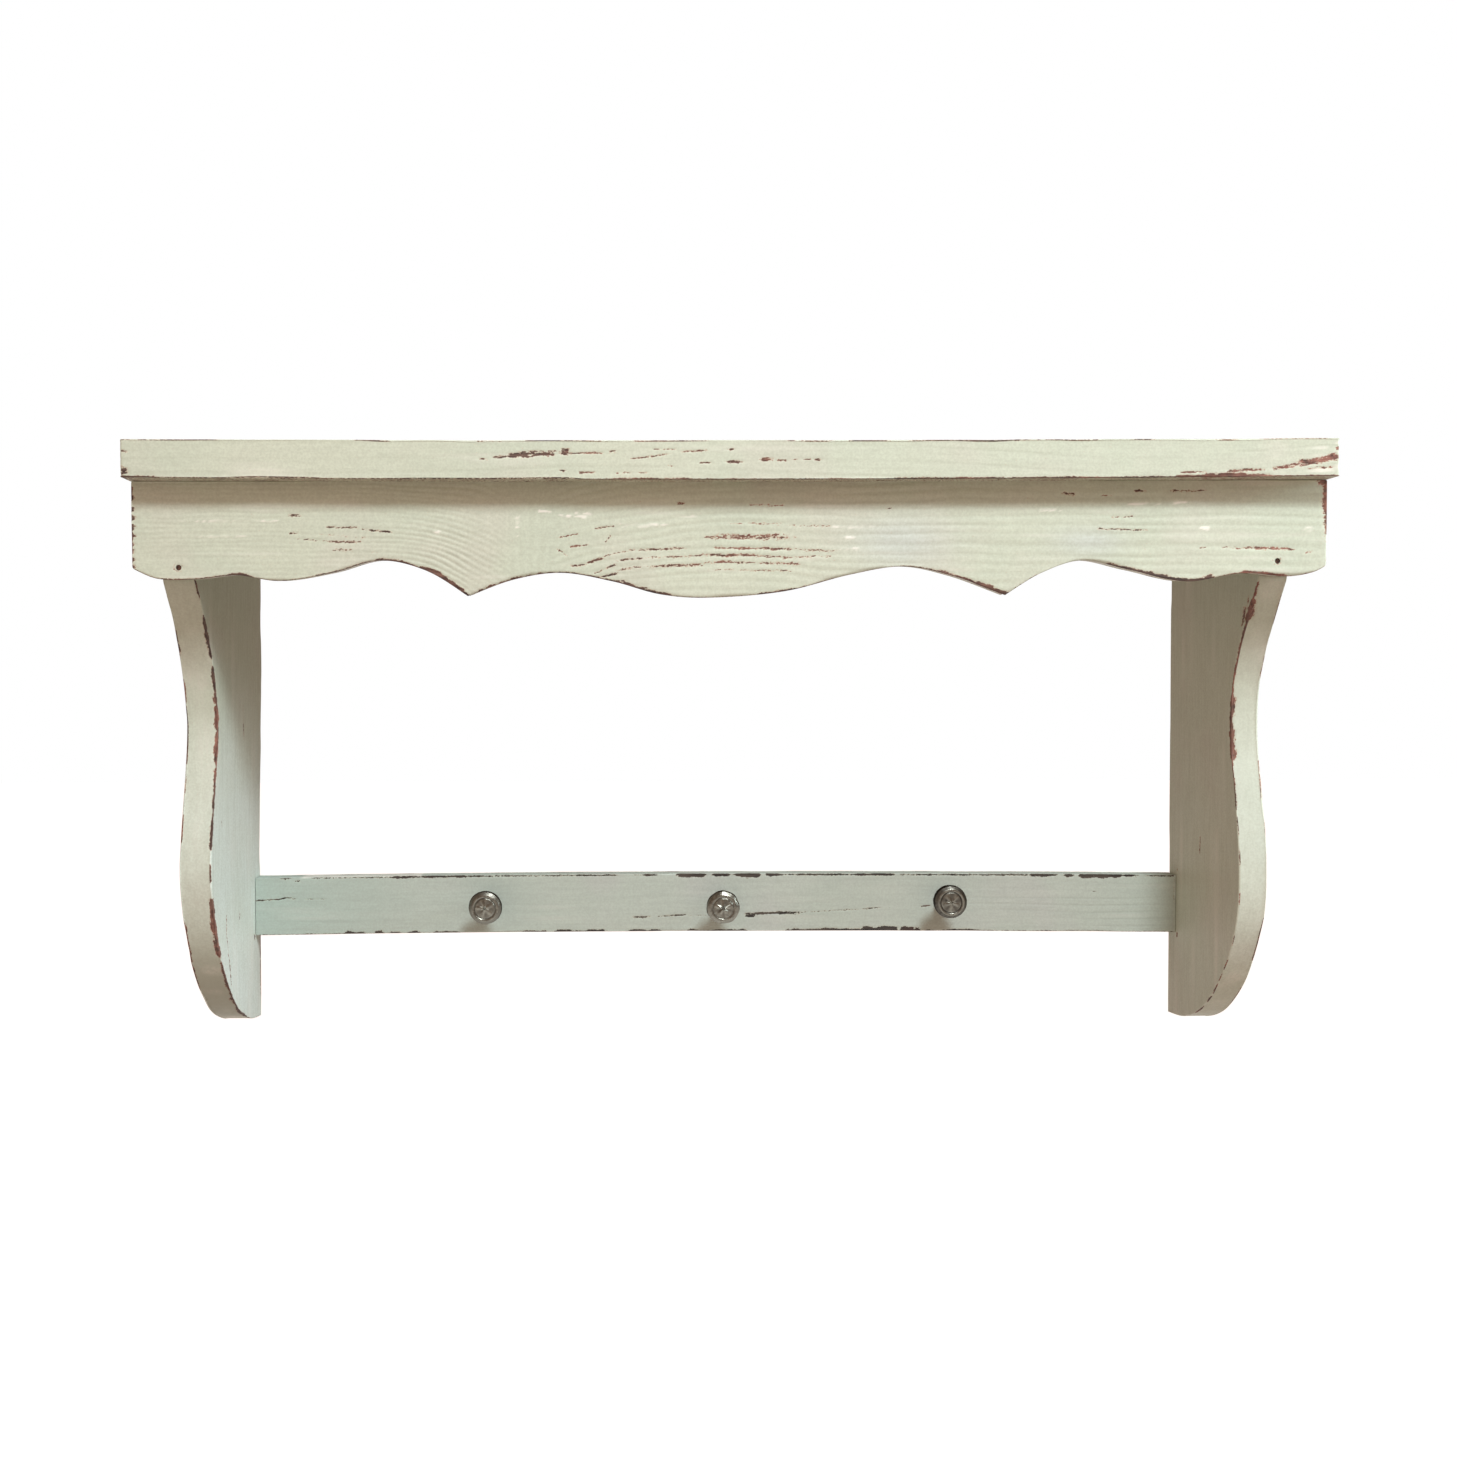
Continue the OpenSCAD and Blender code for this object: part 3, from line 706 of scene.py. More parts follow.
def bracket_board(side, thick, face_x, inward):
    """The bare board, from its inner face at face_x outwards."""
    curve = smooth_curve(BRACKET_EDGE[side], 10)
    split = BRACKET_FOOT * 10
    front_edge = np.concatenate([[(BRACKET_REACH, 0)], curve[:split + 1]])[::-1]
    foot_edge = curve[split:][::-1]
    tall = curve[-1][1]

    def patch(u, v):
        """Out and up, spread between the wall edge, the front edge, the foot and the top."""
        front_out, front_down = along(front_edge, v)
        foot_out, foot_down = along(foot_edge, u)
        turn_out, turn_down = foot_edge[-1]
        out = u * front_out + (1 - v) * (foot_out - u * turn_out)
        return out, under_z - u * front_down - (1 - v) * (foot_down - u * turn_down)

    def place(a, b, c):
        """The left board is wound a little: the top of its wall edge leans inwards."""
        lean = 2.0 * (1 - a / BRACKET_REACH) * (1 - step(100, 200, under_z - b)) if side == "left" else 0
        return np.stack([face_x + lean - inward * c, -a, b], 1)

    def radius(p, face):
        return 0.5 + 0.8 * step(-0.3, 0.7, noise(p, (30, 30, 20), 81 + face + 5 * (inward > 0)))

    return Board(patch, lines(92, 0.72), lines(tall, 1.75), thick, 0.85, place, radius)


def bracket_grain(p, rim, seed):
    bend = 5 * noise(p, (90, 60, 130), seed) + 1.2 * noise(p, (30, 14, 45), seed + 1)
    phase = np.where(rim, (p[:, 0] + bend * 0.6) / 4.2, (p[:, 1] + bend) / 5.5)
    strong = step(-0.3, 0.7, noise(p, (9, 9, 60), seed + 2))
    return stripes(phase, 0.36) * (0.1 + 0.6 * strong) * np.where(rim, 0.3, 1.0)


def bracket_chips(board, side, out, down, seed):
    """Bare wood: marks on the inner face, both arrises of the front edge, and scuffs outside."""
    p = board.points
    ragged = 0.6 * noise(p, (1.6, 1.6, 3.4), seed + 4) + 0.4 * noise(p, (8, 8, 8), seed + 5)
    widths = []
    for k, parts in enumerate((BRACKET_ARRIS[side], BRACKET_OUTER_ARRIS[side])):
        elsewhere = 0.4 * step(0, 0.6, noise(p, (9, 9, 14), seed + 6 + k))
        widths.append(np.where(out > 30, strips(down, parts) * (1 + 0.8 * ragged), elsewhere))
    return np.maximum.reduce([
        np.where(board.side == 0, dashes(down, out, BRACKET_MARKS[side], seed + 3), 0),
        arris_wear(board.to_front * np.where(board.side == 2, 1.0, 1.25), widths[0]),
        arris_wear(board.to_back, widths[1]),
        np.where(board.side == 1, scuffs(p, (4, 3.5, 26), (2, 0.9, 5), seed + 8, 0.7, 0.85), 0),
    ])


def bracket_cutters(side, mouth, inward):
    """The plate's rebate, and then its pocket and the mouths for the rail's nails."""
    centre = FIX_X[side]
    wide, deep, plate_tall = PLATE
    pocket_w, pocket_d, pocket_low, pocket_high = POCKET
    rebate = ((centre - wide / 2, -deep, -plate_tall / 2), (centre + wide / 2, OVER, plate_tall / 2))
    pocket = ((centre - pocket_w / 2, -deep - pocket_d, pocket_low),
              (centre + pocket_w / 2, OVER, pocket_high))
    nails = [((mouth - inward * OVER, RAIL_NAIL_Y, z), (mouth + inward * NAIL_SET, RAIL_NAIL_Y, z), NAIL_R)
             for z in RAIL_NAIL_Z]
    return [[rebate], [pocket] + nails]


def make_bracket(side, paint):
    low, high = bracket_boxes[side]
    thick = high[0] - low[0]
    left = side == "left"
    inward = 1 if left else -1
    face_x = high[0] if left else low[0]
    seed = 100 if left else 140
    board = bracket_board(side, thick, face_x, inward)
    p = board.points
    out, down = -p[:, 1], under_z - p[:, 2]
    rim = board.side == 2
    edge = rim & (out > 30)
    grain_and_groove_shade = bracket_grain(p, rim, seed)
    chip = bracket_chips(board, side, out, down, seed)
    rub_and_highlight = 0.35 * step(0.2, 0.9, noise(p, (12, 6, 60), seed + 10))
    red = step(-0.3, 0.4, noise(p, (30, 30, 24), seed + 11)) * 0.8
    depth_in = 0.06 * np.minimum(grain_and_groove_shade, 1) + 0.25 * step(0.4, 0.62, chip)
    depth_in = depth_in + 0.15 * (1 + noise(p, (40, 40, 50), seed + 12))
    cuts_across = 0.03 * (1 + np.sin(down * 0.9 + 2 * noise(p, (6, 50, 9), seed + 13)))
    board.press(depth_in + np.where(edge, cuts_across, 0))
    # Painted light: from about 90 to 190 mm down, each board takes the lighter bluish chill tone. The left
    # board's faces take it fully, the right board's faces and both front edges less, and the front edges'
    # feet not at all.
    painted_light_lift = np.where(rim, 0.4, 1.0 if left else 0.25)
    cool = painted_light_lift * step(90, 190, down + 25 * noise(p, (30, 30, 40), seed + 14))
    cool = cool * np.where(rim, 1 - step(235, 290, down), 1.0)
    # Painted shade: the front edge is darkened at the left board's foot and at the right board's waist.
    painted_shade = 2.6 * step(225, 290, down) if left else 0.8 * np.exp(-((down - 165) / 45) ** 2)
    fields = {"chip": chip, "rub_and_highlight": rub_and_highlight, "grain_and_groove_shade": grain_and_groove_shade + 2.2 * painted_shade * edge, "red": red, "cool": cool}
    cutters = bracket_cutters(side, face_x - inward * thick, inward)
    board.finish(side + "_bracket", fields, cutters, paint, "painted_wood")


# ---------------------------------------------------------------- the peg rail

KNOBS = ("left", "middle", "right")
RAIL_MARKS = [
    (-52, -41, -219.8, -219.4, 1.2, 0.8), (-36, -19, -219.2, -218.6, 0.9, 0.8),
    (-19, -6, -218.7, -218.8, 0.5, 0.5), (17, 24, -218.6, -218.6, 2.2, 1.0),
    (18, 38, -218.2, -217.2, 1.5, 1.0), (35, 50, -217.0, -217.8, 2.0, 0.95),
    (49, 105, -217.2, -214.2, 0.6, 0.5), (92, 106, -214.4, -214.4, 0.5, 0.6),
    (124, 130, -213.4, -213.0, 0.8, 0.8), (-280, -265, -206.9, -206.5, 0.85, 1.0),
    (-266, -260, -206.5, -205.4, 0.85, 1.0), (-261, -256, -205.4, -206.5, 0.85, 1.0),
    (-250, -238, -206.8, -206.8, 0.4, 0.5), (-256, -252, -195.4, -195.8, 0.9, 0.8),
    (228, 232, -203.8, -203.6, 0.5, 0.6),
]
RAIL_TOP_ARRIS = [
    (-264, -259, 0.6), (-246, -197, 0.35), (-197, -152, 1.0), (-152, -60, 0.5),
    (-50, -47, 0.3), (-45, -36, 0.7), (-24, -7, 1.7), (-2, 8, 1.6), (11, 26, 1.8), (30, 38, 1.4),
    (38, 84, 0.6), (84, 108, 0.9), (112, 190, 0.6), (191, 207, 1.3), (212, 217, 1.6),
    (221, 247, 1.9), (248, 258, 0.9), (262, 280, 0.4),
]
RAIL_LOW_ARRIS = [
    (-278, -225, 0.4), (-226, -214, 1.7), (-208, -202, 1.4), (-199, -192, 1.2), (-188, -181, 1.2),
    (-172, -156, 0.9), (-118, -104, 1.4), (-98, -68, 1.4), (-55, -34, 1.4), (-18, 18, 1.2),
    (42, 88, 1.2), (88, 110, 2.1), (112, 124, 1.8), (126, 168, 0.9), (168, 280, 0.35),
]


def rail_grain(p, x, z):
    bend = 1.8 * noise(p, (80, 60, 40), 190) + 0.6 * noise(p, (28, 20, 9), 191)
    phase = (z + bend) / 4.4 + 0.3 * noise(p, (160, 50, 8), 192)
    strong = step(-0.2, 0.7, noise(p, (50, 20, 6), 193))
    return stripes(phase, 0.45) * (0.15 + 0.6 * strong) * (1 + 1.3 * step(100, 160, x))


def rail_chips(board, x, z, upper, half):
    """Bare wood: its marks, its arrises and scuffs on its back."""
    p = board.points
    ragged = 0.6 * noise(p, (3, 3, 1.4), 195) + 0.4 * noise(p, (9, 9, 9), 196)
    width = np.where(upper, 0.78 * strips(x, RAIL_TOP_ARRIS), strips(x, RAIL_LOW_ARRIS)) * (1 + ragged)
    width = np.where(np.abs(x) > half - 1, 0, width)
    back_width = 0.5 * step(-0.2, 0.5, noise(p, (16, 30, 16), 197)) + 0.3 * ragged
    # The bare line runs a little below the top edge, which kept its paint.
    shift = np.where(upper, np.abs(board.to_front - 0.7), board.to_front)
    return np.maximum.reduce([
        np.where(board.side == 0, dashes(x, z, RAIL_MARKS, 194), 0),
        arris_wear(shift, width),
        arris_wear(board.to_back, back_width),
        np.where(board.side == 1, scuffs(p, (24, 20, 3), (4.5, 9, 0.8), 198, 0.7, 0.9), 0),
    ])


def make_rail(paint):
    low, high = rail_low, rail_high
    thick = high[1] - low[1]
    tall = high[2] - low[2]
    half = (high[0] - low[0]) / 2

    def patch(u, v):
        return (u * 2 - 1) * half, low[2] + v * tall

    def place(a, b, c):
        """The rail is a little crowned: its ends are lower than its middle."""
        crown = 0.4 - 1.7 * (a / half) ** 2 + 0.5 * (high[2] - b) / tall
        return np.stack([a, low[1] + c, b + crown], 1)

    def radius(p, face):
        worn = step(-0.3, 0.7, noise(p, (25, 30, 30), 181 + face))
        return 0.4 + 0.8 * worn * step(0, 12, half - np.abs(p[:, 0]))

    board = Board(patch, lines(2 * half, 1.55), lines(tall, 0.5), thick, 0.7, place, radius)
    p = board.points
    x, z = board.a, board.b
    upper = z > (low[2] + high[2]) / 2
    grain_and_groove_shade = rail_grain(p, x, z)
    chip = rail_chips(board, x, z, upper, half)
    rub_and_highlight = 0.12 * step(0.3, 0.9, noise(p, (50, 6, 3), 200))
    # Painted highlight: a pale strip along the top lip of the rail's left part.
    highlight_lip = upper & ((board.side == 2) | (board.inset < 0.9))
    rub_and_highlight = np.maximum(rub_and_highlight, 0.9 * strips(x, [(-252, -180, 1.0)]) * highlight_lip)
    red = step(0.0, 0.7, noise(p, (30, 20, 20), 201)) * 0.4 * np.where(upper, 0.1, 0.6)
    depth_in = 0.07 * grain_and_groove_shade + 0.25 * step(0.4, 0.62, chip)
    board.press(depth_in + 0.12 * (1 + noise(p, (40, 40, 20), 202)))
    cool = 1 - step(-290, -60, x + 40 * noise(p, (60, 30, 30), 203))
    cuts = []
    for name in KNOBS:
        box_low, box_high = corners("knob_washer_" + name)
        cx, cz = (box_low[0] + box_high[0]) / 2, (box_low[2] + box_high[2]) / 2
        cuts.append(((cx, -SINK_H, cz), (cx, OVER, cz), SINK_R))
    fields = {"chip": chip, "rub_and_highlight": rub_and_highlight, "grain_and_groove_shade": grain_and_groove_shade, "red": red, "cool": cool}
    board.finish("peg_rail", fields, [cuts], paint, "painted_rail")


# ---------------------------------------------------------------- the knobs


def knob_heights(r, angle, rim, turn, star):
    """How far the face of a knob's head stands out, by distance from its centre and angle.

    From outside in: a slope, a narrow ring, a groove and a flat disc with a five-armed star.
    """
    q = r / rim
    slope = 1.5 * (1 - step(0.72, 1.05, q))
    groove = 0.4 * np.exp(-((q - 0.63) / 0.04) ** 2)
    disc = 0.3 * np.sqrt(np.clip(1 - (q / 0.6) ** 4, 0, 1))
    arm = np.cos(5 * (angle - turn))
    reach = 0.6 * (0.66 + 0.28 * arm)
    fold = np.abs(((angle - turn) * 5 / math.pi + 1) % 2 - 1)
    relief = np.clip(1 - q / reach, 0, 1) * (1.3 - 0.5 * fold)
    peak = 0.3 * np.exp(-(q / 0.10) ** 2)
    return 5.0 + slope - groove + disc + 0.9 * star * relief + peak


def knob_stem(rim, head):
    """Radius and height from the foot up the neck and round the head's rim."""
    neck = 3.8
    foot = [(0.6, 0.0), (0.8, 0.2), (0.8, 0.7), (0.6, 1.0), (0.4, 1.5), (0.2, 2.3), (0.0, 3.6),
            (-0.2, 7.0), (-0.1, 10.0)]
    throat = [(0.0, -3.2), (0.4, -1.6), (1.4, -0.7)]
    edge = [(-2.6, -0.1), (-1.2, 0.4), (-0.5, 1.0), (-0.1, 1.7), (0.0, 2.4), (-0.05, 3.0),
            (-0.3, 3.8), (-0.7, 4.5)]
    stem = [(neck + r, h) for r, h in foot]
    stem += [(neck + r, head + h) for r, h in throat]
    return stem + [(rim + r, head + h) for r, h in edge]


def knob_patina_and_shade(p, rim, head, turn, star):
    """Where the metal is dark: patina in the groove and between the star's arms, and painted shade on the
    outer slope, under the head and round the rim's side.
    """
    q = np.hypot(p[:, 0], p[:, 1]) / rim
    height = p[:, 2] - head
    on_face = height > 3
    angle = np.arctan2(p[:, 1], p[:, 0])
    bays = (q < 0.6) * (0.5 + 0.5 * np.cos(5 * (angle - turn) + math.pi)) * on_face
    return np.maximum.reduce([
        0.45 * np.exp(-((q - 0.63) / 0.03) ** 2) * on_face,
        # Painted shade: the outer slope, the metal under the head and the rim's side are darkened.
        0.3 * step(0.76, 0.82, q) * on_face,
        (1 - step(-0.5, 1.5, height)) * 0.8,
        0.7 * np.exp(-((q - 1) / 0.05) ** 2) * (height < 4),
        0.45 * star * bays * step(0.12, 0.3, q),
    ])


def ring_faces(sides, rows):
    """Faces that join rings of points, from a point at the foot to a point at the tip."""
    last = 1 + (rows - 1) * sides
    faces = []
    for k in range(sides):
        n = (k + 1) % sides
        faces.append((0, 1 + n, 1 + k))
        faces.append((last + k, last + n, last + sides))
        for base in range(1, last, sides):
            faces.append((base + k, base + n, base + sides + n, base + sides + k))
    return faces


def make_knob(name, metal, turn, seed, stain, corner, star):
    """turn aims its star, stain darkens its metal, corner makes its rim seven-sided, star is its relief."""
    low, high = corners("knob_" + name)
    centre_x = (low[0] + high[0]) / 2
    centre_z = (low[2] + high[2]) / 2
    rim = (high[0] - low[0]) / 2
    reach = high[1] - low[1]
    head = reach - 8
    sides = 120
    angles = 2 * math.pi * np.arange(sides) / sides
    rings = [(r, np.full(sides, h)) for r, h in knob_stem(rim, head)]
    for r in np.linspace(0.955 * rim, 0.02 * rim, 46):
        rings.append((r, head + knob_heights(np.full(sides, r), angles, rim, turn, star)))
    tip = knob_heights(np.zeros(1), np.zeros(1), rim, turn, star)[0]
    points = [np.array([[0, 0, 0]])]
    for r, h in rings:
        wobble = 1 + (0.005 * np.sin(angles * 3 + seed) + corner * np.cos(angles * 7 + 0.4)) * (r > 0.7 * rim)
        points.append(np.stack([r * wobble * np.cos(angles), r * wobble * np.sin(angles), h], 1))
    points.append(np.array([[0, 0, head + tip]]))
    p = np.concatenate(points)
    p[:, 2] = np.minimum(p[:, 2], reach)
    dents = 0.05 * noise(p, (1.6, 1.6, 1.6), seed) + 0.06 * noise(p, (4, 4, 4), seed + 1)
    p[:, :2] *= (1 + 0.15 * dents * (p[:, 2] > head))[:, None]
    world = np.stack([centre_x + p[:, 0], high[1] - p[:, 2], centre_z + p[:, 1]], 1)
    fields = {"hollow_and_shade": knob_patina_and_shade(p, rim, head, turn, star) + stain}
    piece = skin("knob_%s_cast" % name, world, ring_faces(sides, len(rings)), fields)
    finish(piece, metal, "knob_" + name, 55)


# ---------------------------------------------------------------- materials


def linear(r, g, b):
    """A colour given as 0 to 255 per channel, as linear light."""
    out = []
    for c in (r, g, b):
        c = c / 255
        out.append(c / 12.92 if c <= 0.04045 else ((c + 0.055) / 1.055) ** 2.4)
    return tuple(out) + (1.0,)


class Shader:
    """A material's node tree, with short calls for the nodes used here."""

    def __init__(self, name):
        self.material = bpy.data.materials.new(name)
        self.material.use_nodes = True
        self.tree = self.material.node_tree
        self.surface = self.tree.nodes["Principled BSDF"]
        self.place = self.node("ShaderNodeTexCoord").outputs["Object"]

    def node(self, kind, **settings):
        made = self.tree.nodes.new(kind)
        for key, value in settings.items():
            setattr(made, key, value)
        return made

    def feed(self, socket, value):
        if isinstance(value, bpy.types.NodeSocket):
            self.tree.links.new(value, socket)
        else:
            socket.default_value = value

    def stretch(self, x, y, z):
        made = self.node("ShaderNodeMapping")
        self.feed(made.inputs["Vector"], self.place)
        made.inputs["Scale"].default_value = (x, y, z)
        return made.outputs["Vector"]

    def noise(self, where, scale, detail=3.0, rough=0.55):
        made = self.node("ShaderNodeTexNoise")
        self.feed(made.inputs["Vector"], where)
        made.inputs["Scale"].default_value = scale
        made.inputs["Detail"].default_value = detail
        made.inputs["Roughness"].default_value = rough
        return made.outputs["Fac"]

    def attribute(self, name):
        return self.node("ShaderNodeAttribute", attribute_name=name).outputs["Fac"]

    def math(self, kind, a, b=0.0, c=0.0):
        made = self.node("ShaderNodeMath", operation=kind)
        for socket, value in zip(made.inputs, (a, b, c)):
            self.feed(socket, value)
        return made.outputs[0]

    def ramp(self, value, low, high, to_low=0.0, to_high=1.0):
        made = self.node("ShaderNodeMapRange", interpolation_type="SMOOTHSTEP")
        for socket, v in zip(made.inputs, (value, low, high, to_low, to_high)):
            self.feed(socket, v)
        return made.outputs[0]

    def mix(self, share, a, b, kind="MIX"):
        made = self.node("ShaderNodeMix", data_type="RGBA", blend_type=kind)
        self.feed(made.inputs[0], share)
        self.feed(made.inputs[6], a)
        self.feed(made.inputs[7], b)
        return made.outputs[2]

    def look(self, color, metallic, rough):
        for key, value in (("Base Color", color), ("Metallic", metallic), ("Roughness", rough)):
            self.feed(self.surface.inputs[key], value)

    def bump(self, height, strength, distance):
        made = self.node("ShaderNodeBump")
        made.inputs["Strength"].default_value = strength
        made.inputs["Distance"].default_value = distance
        self.feed(made.inputs["Height"], height)
        self.feed(self.surface.inputs["Normal"], made.outputs["Normal"])


def worn_paint(name, along_axis, light, shade, hue, deep, chill, wood):
    """Brushed matt paint over a pink undercoat, worn through to brown wood at its chips.

    light and shade are the paint's two tones, hue a faint tint in clouds, and deep the darker tone of
    the streaks, the mottling and the painted shade in the brushed grooves and on parts of the brackets'
    edges.
    chill is the bluish tone where the attribute "cool" is high; on the brackets it is a lighter tone of
    painted light.
    The near-white tone is rubbed paint in some places, and painted highlight and painted light in others.
    wood holds the undercoat's tone and the dark and light tones of the bare wood.
    """
    s = Shader(name)
    squeeze = [1.0, 1.0, 1.0]
    squeeze[along_axis] = 0.09
    crumbs = [1.0, 1.0, 1.0]
    crumbs[along_axis] = 0.5
    brushed = s.stretch(*squeeze)
    fine = s.noise(s.place, 900, 3)
    streak = s.noise(brushed, 520, 3)
    cloud = s.noise(s.place, 13, 3)
    tint = s.noise(s.place, 21, 2)
    mottle = s.noise(s.place, 260, 4, 0.7)
    crumb = s.noise(s.stretch(*crumbs), 1500, 3, 0.65)
    chip = s.math("MULTIPLY_ADD", s.math("SUBTRACT", crumb, 0.5), 1.9, s.attribute("chip"))
    bare = s.ramp(chip, 0.5, 0.6)
    under = s.ramp(chip, 0.3, 0.54)
    paint = s.mix(s.ramp(cloud, 0.3, 0.7), light, shade)
    paint = s.mix(s.ramp(tint, 0.45, 0.75, 0.0, 0.6), paint, hue)
    # On the brackets this mix is painted light: their lower parts take a lighter bluish tone. On the apron
    # and rail it is a bluish tint in the paint.
    paint = s.mix(s.math("MULTIPLY", s.attribute("cool"), s.ramp(cloud, 0.25, 0.7, 0.5, 1.0)), paint, chill)
    paint = s.mix(s.ramp(streak, 0.35, 0.7, 0.0, 0.14), paint, deep)
    paint = s.mix(s.ramp(mottle, 0.35, 0.7, 0.0, 0.12), paint, deep)
    paint = s.mix(s.ramp(fine, 0.35, 0.65, 0.0, 0.24), paint, deep)
    # Painted shade: the brushed grooves are mixed a little towards the deep tone. So are the brackets' front
    # edges where their painted shade is set.
    paint = s.mix(s.math("MULTIPLY", s.attribute("grain_and_groove_shade"), 0.16), paint, deep)
    # The near-white mix is rubbed paint in some places, and painted highlight and painted light in others:
    # the apron's ridge blots, its shaded sawn edge and the rail's top lip.
    rub_and_highlight = s.math("MULTIPLY", s.attribute("rub_and_highlight"), s.ramp(streak, 0.38, 0.6, 0.25, 0.8))
    paint = s.mix(rub_and_highlight, paint, linear(250, 246, 236))
    paint = s.mix(s.math("MULTIPLY", under, 0.6), paint, wood[0])
    grain_wood = s.noise(brushed, 700, 3)
    bared = s.mix(s.ramp(grain_wood, 0.35, 0.65), wood[1], wood[2])
    red_wood = s.mix(s.ramp(grain_wood, 0.3, 0.7), linear(122, 76, 64), linear(172, 120, 102))
    reddish = s.math("MULTIPLY", s.attribute("red"), s.ramp(mottle, 0.3, 0.6))
    bared = s.mix(reddish, bared, red_wood)
    rough = s.ramp(streak, 0.3, 0.7, 0.52, 0.68)
    rough = s.math("SUBTRACT", rough, s.math("MULTIPLY", s.attribute("rub_and_highlight"), 0.14))
    rough = s.math("ADD", rough, s.math("MULTIPLY", bare, 0.22))
    s.look(s.mix(bare, paint, bared), 0.0, rough)
    height = s.math("MULTIPLY_ADD", streak, 0.8, s.math("MULTIPLY", fine, 0.35))
    s.bump(height, 0.3, 0.0003)
    return s.material


def cast_metal(name):
    """Antique nickel: bright where it is rubbed, brown-black in its hollows, and dark as painted shade on its
    outer slope and under its rim.
    """
    s = Shader(name)
    patches = s.noise(s.place, 420, 4, 0.65)
    specks = s.noise(s.place, 1600, 3)
    hollow_and_shade = s.math("MULTIPLY_ADD", s.math("SUBTRACT", patches, 0.5), 0.7, s.attribute("hollow_and_shade"))
    dark = s.ramp(hollow_and_shade, 0.25, 0.75)
    metal = s.mix(s.ramp(patches, 0.35, 0.65), linear(100, 98, 90), linear(130, 128, 118))
    metal = s.mix(s.ramp(specks, 0.5, 0.8, 0.0, 0.35), metal, linear(80, 70, 60))
    s.look(s.mix(dark, metal, linear(46, 42, 38)), 1.0, s.ramp(hollow_and_shade, 0.2, 0.9, 0.3, 0.6))
    s.bump(s.math("ADD", patches, specks), 0.25, 0.0002)
    return s.material


def plated_steel(name, tone):
    """Zinc-plated steel with a spangle and fine scratches."""
    s = Shader(name)
    cells = s.node("ShaderNodeTexVoronoi")
    s.feed(cells.inputs["Vector"], s.place)
    cells.inputs["Scale"].default_value = 520
    spangle = s.node("ShaderNodeSeparateColor")
    s.feed(spangle.inputs[0], cells.outputs["Color"])
    scratch = s.noise(s.stretch(1, 1, 0.06), 1500, 2)
    metal = s.mix(spangle.outputs[0], tone, linear(196, 196, 190))
    metal = s.mix(s.ramp(scratch, 0.5, 0.75, 0.0, 0.4), metal, linear(112, 110, 104))
    s.look(metal, 1.0, s.ramp(scratch, 0.3, 0.7, 0.3, 0.5))
    s.bump(scratch, 0.15, 0.0001)
    return s.material


def rusty_iron(name):
    """Dark iron with rust, for the set nail heads and pins."""
    s = Shader(name)
    rust = s.noise(s.place, 1100, 4, 0.7)
    metal = s.mix(s.ramp(rust, 0.4, 0.6), linear(40, 32, 30), linear(92, 58, 42))
    s.look(metal, s.ramp(rust, 0.4, 0.6, 0.7, 0.1), s.ramp(rust, 0.3, 0.7, 0.5, 0.85))
    s.bump(rust, 0.4, 0.0003)
    return s.material


def painted_head(name):
    """A screw head painted over with the shelf, with steel showing through."""
    s = Shader(name)
    wear = s.noise(s.place, 900, 4, 0.65)
    bare = s.ramp(wear, 0.54, 0.6)
    tone = s.mix(bare, linear(206, 208, 188), linear(120, 108, 98))
    s.look(tone, s.math("MULTIPLY", bare, 0.8), s.ramp(wear, 0.4, 0.7, 0.6, 0.4))
    s.bump(wear, 0.3, 0.0003)
    return s.material


def dress(node, material):
    """Gives a CAD node a material in every one of its slots."""
    data = nodes[node].data
    if not data.materials:
        data.materials.append(material)
    for slot in nodes[node].material_slots:
        slot.material = material


# ---------------------------------------------------------------- floor, light and camera


def make_floor():
    """A pale floor well below the shelf, in metres."""
    half = 20.0
    level = -1.75
    data = bpy.data.meshes.new("floor")
    data.from_pydata([(-half, -half, level), (half, -half, level), (half, half, level), (-half, half, level)],
                     [], [(0, 1, 2, 3)])
    floor = link("floor", data)
    s = Shader("pale_floor")
    s.look((0.9, 0.9, 0.9, 1), 0.0, 0.9)
    s.surface.inputs["Emission Color"].default_value = (1, 1, 1, 1)
    s.surface.inputs["Emission Strength"].default_value = 0.8
    data.materials.append(s.material)
    floor.visible_diffuse = False


def lamp(name, size, energy, color, location, target):
    """A round soft lamp that looks at the target. Its places and its size are in metres."""
    data = bpy.data.lights.new(name, "AREA")
    data.shape = "DISK"
    data.size = size
    data.energy = energy
    data.color = color
    made = link(name, data)
    made.location = location
    aim = Vector(target) - made.location
    made.rotation_euler = aim.to_track_quat("-Z", "Y").to_euler()


def make_light():
    """The key hangs to the right, in front and above; a cool fill comes from the right."""
    lamp("key", 0.5, 41.9, (0.915, 1.0, 1.06), (0.50, -1.45, 1.49), (0, -0.06, -0.08))
    lamp("side_fill", 0.5, 15.0, (0.84, 1.0, 1.08), (1.5, -0.30, 0.30), (-0.28, -0.05, -0.2))


